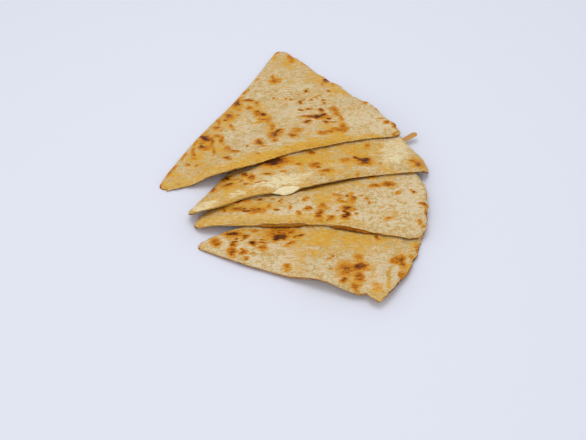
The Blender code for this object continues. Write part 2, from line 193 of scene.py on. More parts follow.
# Browned spots: x, y, extent in x, extent in y, turn in degrees, and darkness from 0 to 1.
BROWNED = {
    "slice_1": (
        (-61, 39, 5, 6, 0, 0.85), (-58, 39, 3, 8, 0, 0.6), (-56, 35, 2.5, 10, 0, 0.6),
        (-63, 33, 3, 3, 0, 0.6), (-62.5, 29.5, 3, 3, 0, 0.85), (-60, 29, 6, 4, 0, 0.6),
        (-55, 24.5, 2, 6, 0, 0.55), (-68, 24, 3, 10, 0, 0.42), (-67, 18, 3, 2, 0, 0.5),
        (-52, 42, 4, 3, 0, 0.5), (-49.5, 37.5, 3, 8, 0, 0.46), (-45.5, 28.5, 4, 6, 0, 0.5),
        (-41, 25, 6, 3, 0, 0.55), (-45.5, 17.5, 4, 3.5, 0, 0.65), (-71.5, 11, 3, 3, 0, 0.5),
        (-65, 10, 2, 2.5, 0, 0.55), (-26, 22, 3, 3, 0, 0.5), (-31.5, 31, 2, 2, 0, 0.45),
        (-24.5, 33.5, 5, 5, 0, 0.66), (-20.5, 30, 4, 2, 0, 0.5), (-12, 44.5, 6, 4, 35, 0.85),
        (-14.5, 42, 7, 6, 0, 0.6), (-13.5, 36, 4, 3, 0, 0.55), (-22.5, 64.5, 4, 4, 0, 0.9),
        (-22.5, 59, 5, 4, 0, 0.65), (-26, 67, 5, 4, 0, 0.6), (-31, 73, 5, 3, 0, 0.6),
        (-26.5, 79, 3, 4, 0, 0.55), (-32.5, 81.5, 8, 3, 0, 0.55), (-40, 78, 5, 7, 0, 0.85),
        (-40, 71, 4, 3, 0, 0.42), (-18, 57.5, 3, 8, 0, 0.44), (-15.5, 50.5, 3, 8, 0, 0.44),
        (-45.5, 64, 6, 6, 0, 0.6), (-47, 59, 2, 2, 0, 0.85), (-52, 58, 3, 6, 0, 0.5),
        (-54, 50.5, 4, 4, 0, 0.5), (-44, 52, 3, 3, 0, 0.5), (-50, 47, 2, 2, 0, 0.5),
        (-42.5, 48, 2, 2, 0, 0.45), (-39, 64.5, 2, 2, 0, 0.5), (-2, 135, 4, 12, 0, 0.5),
        (-15, 110, 2.5, 4, 0, 0.5), (-14, 105.5, 7, 5, 0, 0.5), (26, 107, 3, 3, 0, 1.0),
        (22.5, 105, 2.5, 5, 0, 0.9), (28, 99, 2, 2, 0, 0.8), (20, 99, 2, 2, 0, 0.7),
        (8, 91, 2.5, 2.5, 0, 1.0), (24, 91, 2, 2, 0, 0.7), (36, 95, 2, 2, 0, 0.7),
        (43, 89, 2, 2, 0, 0.7), (58, 67.5, 2, 2, 0, 0.7), (50, 77, 4, 3, 0, 0.5),
        (59, 57, 4, 2, 0, 0.55), (63, 53, 4, 2, 0, 0.55), (69, 50, 4, 6, 0, 0.66),
        (4, 78.5, 2, 4, 0, 0.7), (6, 82, 2, 2, 0, 0.7), (2.5, 87.5, 2, 1.5, 0, 0.6),
        (-2, 81, 2, 1.5, 0, 0.6), (-6, 82, 2, 1.5, 0, 0.55), (-14.5, 84, 2, 1.5, 0, 0.5),
        (18, 85.5, 2, 1.5, 0, 0.7), (15.5, 83.5, 2, 1.5, 0, 0.6), (11.5, 81, 2, 1.5, 0, 0.6),
        (21, 81, 2, 1.5, 0, 0.65), (20, 76, 2, 1.5, 0, 0.6), (3.5, 69, 3, 2.5, 0, 0.7),
        (10.5, 70.5, 3, 2, 0, 0.75), (18.5, 68, 3, 4, 0, 0.85), (14, 61, 14, 3, 0, 0.85),
        (20.5, 63, 3, 2, 0, 1.0), (23.5, 59, 4, 2.5, 0, 0.75), (8.5, 55.5, 4.5, 2.5, 0, 0.75),
        (21, 54, 3, 2, 0, 1.0), (26, 54, 4, 2, 0, 0.7), (6, 62, 2, 2, 0, 0.6),
        (26.5, 69, 5, 5, 0, 0.5), (29, 64, 4, 5, 0, 0.5), (31, 59, 3, 8, 0, 0.52),
        (33, 48, 4, 8, 0, 0.55), (28, 46, 8, 4, 0, 0.52), (23, 44, 8, 3, 0, 0.5),
        (18, 42.5, 6, 4, 0, 0.5), (1.5, 46.5, 6, 5, 0, 0.42), (-1, 41, 5, 4, 0, 0.6),
    ),
    "slice_2": (
        (-14, 12.6, 12, 6, 15, 1.0), (-13, 12, 17, 9, 15, 0.5), (10, 21, 4, 4, 0, 0.6),
        (1.5, 10, 3.5, 3, 0, 0.6), (12, 9, 6, 4, 0, 0.6), (14.5, 6.5, 3, 2, 0, 0.6),
        (32, 13, 6, 4, 0, 0.5), (41, 15, 5, 3, 0, 0.8), (45, 12, 8, 6, 0, 0.9),
        (45, 8, 5, 3, 0, 0.75), (48, 26.5, 4, 4, 0, 0.5), (55.5, 9, 1.5, 3, 0, 0.5),
        (79.5, 6.5, 6, 6, 0, 0.6), (77, 10, 4, 3, 0, 0.5), (-19, 0.5, 5, 3, 0, 0.6),
        (-34, -0.5, 4, 2.5, 0, 0.65), (-30, -3, 3.5, 5, 0, 0.65), (-43.5, -4, 3.5, 3, 0, 1.0),
        (-47, -4.5, 5, 3, 0, 0.6), (-44, -9, 5, 1.8, 0, 0.8), (-45, -11, 6, 3, 0, 0.6),
        (-38, -5, 5, 2, 0, 0.6), (-36, -7.5, 2, 1.5, 0, 0.6), (-54, -14, 4, 5, 0, 0.6),
        (-7.5, 2.5, 4, 2, 0, 0.45), (19, 2, 7, 3, 0, 0.55), (17, -2, 4, 2, 0, 0.5),
        (40, -2, 2, 3, 0, 0.6), (-23, -7.5, 8, 1.2, 0, 0.5), (-32, -10, 6, 2, 0, 0.42),
    ),
    "slice_3": (
        (-37, -27.5, 14, 2.5, 8, 0.62), (-23.5, -26.5, 3, 3, 0, 0.65), (-16, -24.5, 3, 2, 0, 0.5),
        (-10, -26, 1.5, 5, 0, 0.5), (-48.5, -30, 2.5, 3, 0, 0.6), (-46, -34.5, 4, 3, 0, 0.6),
        (-37.5, -34, 7, 4, 0, 0.62), (-32.5, -35.5, 6, 1.8, 0, 0.8), (-27, -35, 5, 5, 0, 0.6),
        (-23, -35, 6, 5, 0, 0.55), (-18, -32, 3, 4, 0, 0.5), (-13, -35, 3, 2, 0, 0.75),
        (-4.5, -32, 2, 5, 0, 0.5), (6.5, -35, 4, 3, 0, 0.55), (1, -39, 3, 3, 0, 0.5),
        (5.5, -25, 3, 5, 0, 0.42), (17, -33, 4, 4, 0, 0.55), (14, -40, 4, 10, 0, 0.55),
        (21, -44.5, 4, 4, 0, 0.5), (26, -22.5, 6, 2, -30, 0.6), (31.5, -23.5, 2, 2, 0, 0.8),
        (34.5, -26, 4, 8, 0, 0.5), (29, -28, 6, 1.5, -30, 0.6), (31, -35, 6, 4, 0, 0.85),
        (30.5, -40, 2.5, 8, 0, 0.8), (30, -43, 5, 2.5, 0, 1.0), (36, -35.5, 2, 1.5, 0, 0.6),
        (34, -38, 2, 1.5, 0, 0.6), (25, -38.5, 2, 1.5, 0, 0.6), (37, -40, 2, 1.5, 0, 0.6),
        (40, -24, 2, 1.5, 0, 0.5), (43.5, -26.5, 2, 1.5, 0, 0.5), (45.5, -31, 2, 1.5, 0, 0.5),
        (50, -14, 6, 4, 0, 0.52), (58, -13, 8, 4, 0, 0.55), (48.5, -6.5, 4, 3, 0, 0.75),
        (73.5, -21, 1.8, 3, 30, 0.85), (64.5, -21.5, 2, 1.5, 0, 0.5), (79.5, -34, 5, 2, -20, 0.6),
        (76, -50, 2, 6, 0, 0.6), (77.5, -54, 2, 2, 0, 0.5), (80.5, -41, 1.5, 6, 0, 0.45),
        (56.5, -45.5, 5, 3, 0, 0.4), (80, -6, 1.5, 1.5, 0, 0.8), (81, -10, 1.5, 1.5, 0, 0.8),
    ),
    "slice_4": (
        (-39.5, -57, 8, 4, 0, 0.85), (-39.5, -57, 12, 6, 0, 0.5), (-50.5, -64, 5, 6, 0, 0.62),
        (-32.5, -59.5, 5, 3, 0, 0.6), (-27, -65.5, 4, 3.5, 45, 0.95),
        (-38.5, -63.5, 3, 1.8, 0, 0.85), (-39, -66, 3, 4, 0, 0.6), (-33.5, -61.5, 2, 1.5, 0, 0.7),
        (-21.5, -63, 2, 1.5, 0, 0.75), (-21, -65.5, 4, 2, 0, 0.6), (-21.5, -70, 6, 4, 0, 0.55),
        (-40, -73, 4, 6, 0, 0.6), (-33.5, -73, 3.5, 4, 0, 0.62), (-28.5, -75, 2, 2, 0, 0.55),
        (-31, -78.5, 2, 2, 0, 0.55), (-27, -54.5, 6, 1.2, 0, 0.5), (-12, -61, 8, 4.5, 0, 0.95),
        (-4.5, -57, 6, 5, 0, 0.6), (-11, -57, 18, 8, 10, 0.5), (1, -60, 5, 1.8, 20, 1.0),
        (-5, -66.5, 8, 3, 25, 0.55), (-7.5, -87, 3.5, 6, 0, 0.55), (18.5, -90, 2, 2, 0, 0.55),
        (20, -78, 2, 2, 0, 0.5), (19, -81, 2, 2, 0, 0.5), (27.5, -90, 8, 10, 0, 0.56),
        (36, -88, 9, 6, 0, 0.72), (35.5, -80, 5, 6, 0, 0.44), (35, -97, 5, 8, 0, 0.58),
        (25.5, -99, 3, 5, 0, 0.62), (32.5, -105, 4, 8, 0, 0.5), (44.5, -105, 6, 8, 0, 0.2),
        (58.5, -83, 6, 5, 0, 0.5), (61.5, -85, 4, 8, 0, 0.6), (67.5, -81, 3, 3, 0, 0.45),
        (71.5, -73, 2, 8, 0, 0.5), (60, -96, 4, 6, 0, 0.4), (48, -63, 2, 3, 0, 0.9),
    ),
}

# Places that are golden with oil: x, y, extent in x, extent in y, turn in degrees, and strength.
OILY = {
    "slice_1": (
        (26, 105, 20, 17, 0, 1.3), (33, 89, 20, 7, 0, 0.9), (38, 68, 12, 10, 0, 0.5),
        (-2, 131, 12, 12, 0, 0.8), (-39, 77, 13, 15, 0, 0.9), (-46, 60, 16, 13, 0, 0.9),
        (-60, 36, 19, 17, 0, 1.0), (-49, 26, 14, 16, 0, 0.8), (-66, 20, 15, 15, 0, 0.8),
        (-79, -4, 24, 12, 30, 0.6), (-54, 9, 28, 8, 15, 0.7), (-21, 60, 38, 9, -60, 0.8),
        (-26, 17, 46, 9, 18, 1.1), (10, 29, 44, 8, 15, 1.2), (50, 36, 36, 5, 3, 0.8),
        (24, 46, 24, 14, 0, 0.8), (-10, 97, 26, 7, 0, 0.4), (-14, 107, 14, 10, 0, 0.5),
        (-5, 82, 40, 4, 5, 0.4), (-30, 76, 18, 10, 0, 0.5),
    ),
    "slice_2": (
        (8, 14, 52, 16, 12, 0.9), (42, 20, 32, 26, 5, 0.8), (28, 1, 46, 9, 8, 0.7),
        (-28, 4, 32, 9, 20, 0.6), (-44, -11, 24, 13, 30, 0.8), (-48, -20, 20, 5, 25, 0.5),
        (52, 27, 12, 10, 0, 0.8), (77, 10, 13, 14, 0, 0.8), (74, 31, 8, 5, 0, 0.9),
        (-60, -27, 14, 12, 0, 0.8), (58, 4, 30, 5, 2, 0.6),
    ),
    "slice_3": (
        (-45, -30, 28, 10, 0, 0.8), (-22, -31, 38, 9, 0, 0.8), (-52, -34, 18, 8, 0, 0.8),
        (-8, -17, 26, 6, 5, 0.9), (14, -14, 30, 8, 5, 1.0), (32, -11, 18, 7, 5, 0.7),
        (63, -6, 28, 5, 3, 0.8), (21, -27, 30, 12, 0, 0.8), (57, -43, 10, 8, 0, 0.6),
        (10, -50, 60, 5, -2, 0.4),
    ),
    "slice_4": (
        (16, -63, 40, 18, 0, 0.9), (38, -67, 28, 17, 0, 0.8), (56, -69, 22, 16, 0, 0.65),
        (68, -74, 6, 20, -10, 0.5), (-1, -78, 8, 26, 0, 1.0), (-12, -59, 28, 12, 0, 0.6),
        (45, -105, 7, 16, 0, 1.3), (33, -91, 24, 20, 0, 0.6), (8, -78, 20, 6, 0, 0.5),
        (56, -104, 6, 12, -30, 0.5),
    ),
}

# Whitish places, with dry flour. The same numbers as above.
PALE = {
    "slice_1": (
        (-3, 67, 15, 14, 0, 0.9), (4, 98, 22, 10, 0, 0.5), (-20, 92, 16, 12, 0, 0.5),
        (36, 82, 16, 9, 0, 0.5), (43, 58, 26, 16, 0, 0.9), (58, 50, 22, 12, 0, 0.9),
        (14, 58, 20, 8, 0, 0.7), (-36, 52, 13, 15, 0, 0.7), (-31, 38, 16, 9, 0, 0.7),
        (8, 80, 18, 8, 0, 0.5), (8, 47, 10, 6, 0, 0.4), (-38, 30, 12, 10, 0, 0.5),
        (-15, 33, 20, 8, 10, 0.5), (-45, 40, 10, 12, 0, 0.5),
    ),
    "slice_2": ((-26, 7, 14, 6, 15, 0.5), (-4, 5, 14, 4, 15, 0.5), (60, 12, 20, 8, 0, 0.4)),
    "slice_3": (
        (2, -33, 16, 10, 0, 0.9), (24, -42, 16, 8, 0, 0.8), (38, -42, 14, 12, 0, 0.8),
        (56, -33, 30, 26, 0, 0.6), (72, -24, 16, 34, 0, 0.8), (40, -22, 12, 12, 0, 0.5),
        (-12, -39, 34, 5, 0, 1.0), (60, -50, 30, 8, 0, 0.6), (26, -33, 10, 7, 0, 0.7),
        (-30, -38, 26, 3, 0, 0.5),
    ),
    "slice_4": (
        (-50, -62, 18, 12, 0, 0.6), (-30, -69, 26, 10, 0, 0.7), (-16, -68, 14, 9, 0, 0.9),
        (-8, -81, 16, 16, 0, 0.7), (12, -88, 26, 12, 0, 0.5), (45, -94, 18, 24, 0, 0.9),
        (-24, -82, 20, 8, -15, 0.6), (20, -98, 14, 10, 0, 0.5), (56, -88, 8, 16, 0, 0.6),
    ),
}

# Cheese smeared over slice 2, and the fat that runs out of it. The same numbers again. The marks at
# (-39, -19) and (-57, -29) are partly painted highlight, for the gloss of the cheese.
SMEARED_AND_GLINTS = {
    "slice_2": (
        (66, 22, 14, 26, 0, 0.9), (-10, -8, 20, 9, 15, 1.3), (-39, -19, 14, 5, 25, 0.7),
        (-57, -29, 13, 8, 20, 0.8), (-24, -10, 16, 5, 20, 0.6), (6, -1, 12, 5, 12, 0.7),
        (26, 8, 14, 6, 0, 0.4), (-62, -33, 8, 6, 0, 0.9),
    ),
    "slice_3": ((-56, -38, 12, 4, 0, 0.4),),
}

# Sharp little folds of the skin: x and y of one end, x and y of the other, width, and height,
# which is below 0 for a groove.
CREASES = {
    "slice_1": (
        (-28, 50, 0, 66, 2.5, 0.35), (-8, 74, 30, 72, 2.5, 0.3), (35, 60, 62, 58, 3.0, 0.3),
        (-46, 40, -28, 36, 2.5, 0.3), (-20, 92, 20, 96, 3.0, 0.35), (-60, 12, -30, 14, 2.5, 0.25),
    ),
    "slice_2": ((-45, -2, -20, 4, 2.5, 0.3), (20, 5, 60, 4, 3.0, 0.3), (-30, -8, 0, 0, 2.5, 0.3)),
    "slice_3": (
        (60, -28, 62, -50, 2.5, -0.3), (64, -28, 66, -50, 2.5, 0.3), (20, -24, 40, -30, 2.0, 0.4),
        (22, -28, 38, -34, 2.0, -0.3), (-50, -29, -15, -26, 2.0, 0.35),
        (-50, -32, -10, -30, 2.0, -0.3),
    ),
    "slice_4": (
        (46, -106, 52, -82, 1.8, 1.0), (50, -108, 56, -84, 1.6, -0.9),
        (55, -107, 61, -88, 1.8, 1.0), (41, -102, 46, -82, 1.6, -0.7),
        (37, -100, 40, -88, 1.6, 0.6), (5, -84, 30, -80, 2.0, 0.4), (-10, -72, 20, -70, 2.0, 0.4),
        (60, -104, 66, -84, 1.5, -0.7),
    ),
}

# How much of the cheese's height is gone at the cuts, where the knife pressed the top down.
PRESSED = {"slice_1": 0.95, "slice_2": 0.95, "slice_3": 0.95, "slice_4": 0.7}
CLEARANCES_PRESSED = 1.6

# The strip of a top tortilla that is bent down at a cut: its width, the share of the length where
# it ends, and how sharply it starts.
SKIRTS = {
    "slice_1": (8.5, 0.85, 0.0),
    "slice_2": (8.5, 0.5, 0.2),
    "slice_3": (6.2, 0.72, 0.8),
    "slice_4": (3.0, 0.5, 0.0),
}
SKIRT_END = 0.2
SKIRT_TIP_REACH = 5.0
SKIRT_WANDER = 0.7
SKIRT_LUMPS = (60.0, 20.0, 2.5)
SKIRT_FALL = 1.2
SKIRT_START = 0.8
GOLDEN_EDGE = 0.8

# How wide the pressed edge is where there is no such strip, and how it rises from there.
LEAST_CLOSING = 2.5
CLOSING_FALL = 1.8

# Swellings of the cuts: the share of the length at their middle, their width, how far out, and
# if at the lower cut.
SWELLINGS = {
    "slice_1": (
        (0.5, 0.45, 1.9, False), (0.08, 0.12, -1.3, True), (0.33, 0.12, 2.6, True),
        (0.6, 0.15, 2.4, True), (0.95, 0.12, 1.6, True),
    ),
    "slice_2": ((0.04, 0.07, 0.6, True), (0.25, 0.12, -3.0, True), (0.88, 0.1, 1.6, True)),
    "slice_3": (
        (0.1, 0.09, 3.2, False), (0.06, 0.07, 2.4, False), (0.55, 0.38, -2.9, True),
        (0.15, 0.1, 0.8, True),
    ),
    "slice_4": ((0.6, 0.15, 0.7, True), (0.84, 0.06, 1.3, True), (0.945, 0.035, -3.0, True)),
}

# How far a slice's tip, and its rim, draw back towards its middle, and how far in that reaches.
DRAWN_BACK = {
    "slice_1": (1.0, 0.0),
    "slice_2": (2.6, 2.0),
    "slice_3": (0.0, 2.4),
    "slice_4": (0.0, 1.8),
}
TIP_DRAW_REACH = 12.0
RIM_DRAW_REACH = 16.0

# Between which shares of its length a slice starts to hug what is under it, how much of the way,
# how far in from the lower cut, and how far the cut settles into the gap below it.
HUGGED = {
    "slice_1": (0.26, 0.44),
    "slice_2": (0.0, 0.16),
    "slice_3": (0.05, 0.25),
    "slice_4": (0.1, 0.2),
}
HUG_SHARE = 0.85
HUG_WIDTH = 9.0
SETTLED = 0.85

# Slice 4's front edge lifts off the floor between two shares of its length, and swells up or down
# at a share, over a width and by a height.
FRONT_LIFT = 0.9
FRONT_LIFT_FROM = (0.03, 0.2)
FRONT_SWELLS = ((0.67, 0.12, 3.4), (0.9, 0.06, -1.6))
FRONT_WAVE_WIDTH = 12.0

# Slice 4's crumpled corner.
TAB_X = 46.2
TAB_HALF_WIDTH = 2.6
TAB_DEPTH = 9.0
TAB_OUT = 2.4
TAB_DOWN = 0.8

# Where a lower cut gapes a little: shares of the slice's length.
GAPING = {"slice_3": ((0.28, 0.49), (0.62, 0.8))}
GAPE_END = 0.03
GAPE_WIDTH = 6.0
GAPE_OPENS = 0.5
GAPE_BOTTOM_OUT = 2.2
GAPE_CHEESE_BACK = 0.8

# Where cheese has run out of a cut: shares of the slice's length, how far out, and how far down.
OOZE = {
    "slice_2": ((-0.2, 0.3, 0.4, 0.3), (0.35, 0.45, 4.2, 2.4)),
    "slice_3": ((0.1, 0.2, 0.6, 0.2),),
}
OOZE_START = (0.03, 0.05)
OOZE_END = (0.04, 0.06)
OOZE_DRAWS_TOP_BACK = 0.9

# How far the top tortilla stands out over a lower cut, and how far the bottom one stays back.
TOP_OUT = 0.5
BOTTOM_BACK = 0.5

# The edges of a tortilla: how much thinner and how round they are, the look of a fresh cut, and how
# browned they are, partly as fried edges and partly as painted shade for the dark line under a cut
# and in a gape.
PINCH = 0.4
PINCH_WIDTH = 7.0
CUT_THINNING = 0.3
CUT_THINNING_WIDTH = 1.6
WALL_BULGE = 0.3
ROUNDING = 0.55
ROUNDING_WIDTH = 0.9
BOTTOM_ROUNDING = (0.5, 0.3)
FOLDED_BOTTOM_ROUNDING = 0.4
CUT_LOOK_REACH = 0.5
CUT_LOOK_LESS_ABOVE = 0.5
SHADED_FRIED_TOP_EDGE = 0.62
SHADED_FRIED_BOTTOM_EDGE = 0.85
SHADED_FRIED_BOTTOM_REACH = 1.2
GAPE_PAINTED_SHADE = 0.2
UPPER_SIDE_FROM = (0.3, 0.9)

# Round the bend of a fold: where its top side starts, and where the lower outside of the bend is
# browned, partly as toast and partly as painted shade, as sines and cosines of the turn.
ON_TOP_FROM = (-0.6, 0.9)
BEND_LOW_FROM = (0.3, -0.05)
BEND_OUT_FROM = (0.0, 0.3)

# How far in from an edge its little bites reach, and which row of the noise each edge reads.
CUT_BITE_REACH = 1.6
RIM_BITE_REACH = 2.5
OVERHANG_REACH = 3.0
LOWER_ROW, UPPER_ROW, RIM_ROW = 3.1, 5.3, 7.7

# Sums of noise: the height of each, and the size of its lumps.
SPOT_OUTLINES = ((1.0, 3.2), (0.7, 1.3))
SKIN_LUMPS = ((1.0, 6.0), (0.6, 2.6))
CUT_BITES = ((0.35, 3.0), (0.2, 1.3))
RIM_BITES = ((1.0, 5.5), (0.5, 2.2))
RIM_SPECKS = ((1.0, 2.4), (0.6, 6.0))
FOLD_PATCHES = ((1.0, 7.0), (0.5, 2.5))
PATCHES_BELOW = ((1.0, 11.0), (0.5, 4.0))

# How far the outlines of marks wander, how hard their edges are, and how strong their halos.
BROWNED_LOOK = (1.2, 2.2, 0.32)
OILY_LOOK = (3.0, 1.2, 0.3)
PALE_LOOK = (2.5, 1.2, 0.2)
SMEARED_LOOK = (2.0, 1.5, 0.1)
SPOT_STRETCH = (0.6, 1.5)
DARKNESS = 1.04

# Skin: its little folds, its wrinkles, and how they show: painted shade in their grooves, and
# painted light on the ridges of the folds.
CREASE_WANDER = 1.2
CREASE_WANDER_SIZE = 6.0
CREASE_ENDS = 0.3
WRINKLE_BEND = 2.0
WRINKLE_BEND_SIZE = 9.0
WRINKLE_SIZE = 4.0
WRINKLE_STRETCH = 0.55
RIDGES = 0.5
LUMPS = 0.6
FOLD_GROOVE_SHADE = 3.5
FOLD_RIDGE_LIGHT = 0.8
OIL_BELOW = 0.3
BLISTERED_FROM = (0.1, 0.8)

# Toasting of the rim, of the bend of a fold, and of the side below: how dark, and where. At the
# bend it is partly painted shade.
RIM_TOAST = 0.75
RIM_TOAST_FROM = (0.35, 0.9)
RIM_TOAST_WIDTH = 2.2
FOLD_TOAST = 0.6
FOLD_TOAST_FROM = (-0.2, 0.5)
FOLD_TOAST_AT = 0.5
FOLD_TOAST_WIDTH = 1.8
BEND_SHADE_AND_TOAST = 0.95
LEAST_BEND_SHADE_AND_TOAST = 0.85
BEND_PATCHES = 0.3
BEND_PATCH_SIZE = 5.0
TOAST_BELOW = 0.8
TOAST_BELOW_FROM = (0.35, 0.95)

# The cheese layer: the share of the slice that it fills, and the look of its sides.
CHEESE_END = 0.985
CHEESE_ROW = 8.0
CHEESE_LUMPS_LEAST = 0.8
CHEESE_LUMPS = ((0.35, 2.0, 5.0), (0.2, 3.0, 1.9))
CHEESE_ROUNDNESS = 0.12
CHEESE_BACK = 0.5
CHEESE_TIP = 0.07
CHEESE_GAP_CLOSED = 0.85
CHEESE_SAG_LEAST = 0.6
CHEESE_SIDE_RISE = 0.55
CHEESE_SIDE_END = 0.97
CHEESE_FRIED_FROM = 0.93
CHEESE_PALE_FROM = (0.6, 2.2)

# What is closer than this to the end of a share counts as on it. A distance to no edge at all.
ON_EDGE = 1e-6
FAR = 99.0

# The colours of toasting: how toasted a place is where each starts and is full, and its share.
TOASTING = (
    ("golden", 0.1, 0.28, 0.9),
    ("toasted", 0.36, 0.5, 1.0),
    ("browned", 0.64, 0.84, 1.0),
    ("charred", 0.96, 1.14, 1.0),
)


def display_colour(red, green, blue):
    """The linear colour of three display values from 0 to 255."""
    shares = [value / 255 for value in (red, green, blue)]
    return tuple(s / 12.92 if s <= 0.04045 else ((s + 0.055) / 1.055) ** 2.4 for s in shares)


def colour_property(name, description, *display_values):
    """A colour that a user can change, with its default as display values from 0 to 255."""
    return bpy.props.FloatVectorProperty(
        name=name, description=description, subtype="COLOR",
        default=display_colour(*display_values), min=0.0, max=1.0,
    )


class TortillaSettings(bpy.types.PropertyGroup):
    """Surface and colours of the toasted tortillas."""

    dough: colour_property("Dough", "Colour of the baked tortilla", 190, 161, 98)
    floury: colour_property("Floury", "Colour of its driest, palest places", 216, 198, 160)
    oily: colour_property("Oily", "Colour where oil has soaked in", 212, 162, 48)
    golden: colour_property("Golden", "Colour round the marks of the pan", 206, 142, 28)
    toasted: colour_property("Toasted", "Colour of a light mark of the pan", 194, 118, 18)
    browned: colour_property("Browned", "Colour of a dark mark of the pan", 130, 70, 4)
    charred: colour_property("Charred", "Colour of the few burnt specks", 76, 34, 3)
    # The smeared colour also paints highlights on the cheese near slice 2's tip.
    smeared: colour_property("Smeared", "Colour of the cheese smeared over slice 2", 236, 222, 176)
    cut_edge: colour_property("Cut edge", "Colour of the pressed and oily cut edges", 213, 167, 66)
    blister: bpy.props.FloatProperty(
        name="Blister", description="How far a browned spot stands up", unit="LENGTH",
        default=0.00045, min=0.0, max=0.0006, precision=5,
    )
    wrinkle: bpy.props.FloatProperty(
        name="Wrinkle", description="Height of the small wrinkles", unit="LENGTH",
        default=0.00028, min=0.0, max=0.0004, precision=5,
    )
    ragged_rim: bpy.props.FloatProperty(
        name="Ragged rim", description="How far the rim's little bites and tabs reach",
        unit="LENGTH", default=0.0009, min=0.0, max=0.002, precision=5,
    )


class CheeseSettings(bpy.types.PropertyGroup):
    """Shape and colours of the melted cheese."""

    pale: colour_property("Pale", "Colour of thick melted cheese", 230, 214, 166)
    golden: colour_property("Golden", "Colour of thin cheese and of its oil", 214, 180, 92)
    # The crisp colour is also painted shade in the recess of a gaping cut.
    crisp: colour_property("Crisp", "Colour of cheese that fried in the pan", 190, 134, 44)
    ooze: bpy.props.FloatProperty(
        name="Ooze", description="Share of the usual amount that has run out of the cuts",
        default=1.0, min=0.0, max=1.5,
    )


class StageSettings(bpy.types.PropertyGroup):
    """Floor and light."""

    floor: colour_property("Floor", "Colour of the floor", 222, 224, 234)
    key: bpy.props.FloatProperty(
        name="Key light", description="Strength of the soft light from above", unit="POWER",
        default=2.5, min=0.0,
    )
    fill: bpy.props.FloatProperty(
        name="Fill light", description="Strength of the soft light from the front", unit="POWER",
        default=1.0, min=0.0,
    )


# The plan of the slices, as it is in the frame.


def smooth_step(low, high, value):
    """0 below low, 1 above high, and a soft rise between."""
    share = np.clip((value - low) / (high - low), 0.0, 1.0)
    return share * share * (3.0 - 2.0 * share)


def bell(distance, width):
    """1 at no distance, and a soft fall to 0 on both sides."""
    return np.exp(-((distance / width) ** 2))


def fading(distance, length):
    """1 at no distance, and a quick fall that a few lengths bring to 0."""
    return np.exp(-distance / length)


def wave(along, cycles, seed):
    """An uneven wave from -1 to 1, as a hand-rolled rim or a knife cut has."""
    total = 0.0
    for height, times, phase in WAVE_PARTS:
        total = total + height * np.sin(2 * math.pi * (times * cycles * along + phase * seed))
    return total


def relief(x, y):
    """Shallow swells of the tortilla's surface."""
    one_way = np.sin(x / SWELL_LENGTHS[0] + np.sin(y / WANDER_LENGTHS[0]))
    other_way = np.sin(y / SWELL_LENGTHS[1] + np.sin(x / WANDER_LENGTHS[1]))
    return RELIEF * (one_way + other_way) / 2


def tip_distance(piece, across):
    """How far the rounded tip stands off the point where the two sides would meet."""
    off_middle = (across - 0.5) * piece.spread
    centre = TIP_RADIUS / math.sin(piece.spread / 2)
    under_root = TIP_RADIUS**2 - (centre * np.sin(off_middle)) ** 2
    return centre * np.cos(off_middle) - np.sqrt(np.maximum(under_root, 0.0))


def rim_distance(piece, across):
    """How far the rim is from that point, with both of its corners rounded."""
    length = piece.lower_length + (piece.upper_length - piece.lower_length) * across
    length = length + piece.rim_bow * np.sin(math.pi * across)
    length = length + piece.rim_sway * np.sin(2 * math.pi * across)
    corner_share = RIM_CORNER / (length * piece.spread)
    past = np.clip((np.abs(across - 0.5) - 0.5 + corner_share) / corner_share, 0.0, 1.0)
    cut_back = RIM_CORNER * (1.0 - np.sqrt(1.0 - past**2))
    return length - cut_back + RIM_WAVE * wave(across, RIM_CYCLES, piece.seed)


def side_offset(piece, along, across):
    """How far a point stands off the straight ray from the tip, in x and y.

    A cut is never quite straight.
    """
    sway = piece.lower_sway * (1 - across) + piece.upper_sway * across
    bow = (piece.lower_bow * (1 - across) + piece.upper_bow * across) * np.sin(math.pi * along)
    bow = bow + sway * np.sin(2 * math.pi * along)
    bow = bow + CUT_WAVE * wave(along, CUT_CYCLES, piece.seed + across) * along
    angle = math.radians(piece.lower_deg) + across * piece.spread
    return -bow * np.sin(angle), bow * np.cos(angle)


def place(piece, along, across):
    """The point of a slice's outline, seen from above."""
    inner = tip_distance(piece, across)
    distance = inner + along * (rim_distance(piece, across) - inner)
    angle = math.radians(piece.lower_deg) + across * piece.spread
    dx, dy = side_offset(piece, along, across)
    x = piece.tip[0] + distance * np.cos(angle) + dx
    return x, piece.tip[1] + distance * np.sin(angle) + dy


def with_swelling(piece, along, across, x, y):
    """Moves a point with the swellings of the cuts, and with the tip and rim that draw back."""
    tip_back, rim_back = DRAWN_BACK[piece.name]
    from_tip, from_rim = along * piece.lower_length, (1 - along) * piece.lower_length
    ahead = tip_back * fading(from_tip, TIP_DRAW_REACH)
    ahead = ahead - rim_back * fading(from_rim, RIM_DRAW_REACH)
    angle = math.radians(piece.lower_deg) + across * piece.spread
    x, y = x + ahead * np.cos(angle), y + ahead * np.sin(angle)
    for middle, width, reach, lower in SWELLINGS[piece.name]:
        near = np.clip((1 - across) if lower else across, 0.0, 1.0)
        amount = reach * bell(along - middle, width) * near
        angle = math.radians(piece.lower_deg - 90 if lower else piece.upper_deg + 90)
        x, y = x + amount * math.cos(angle), y + amount * math.sin(angle)
    return x, y


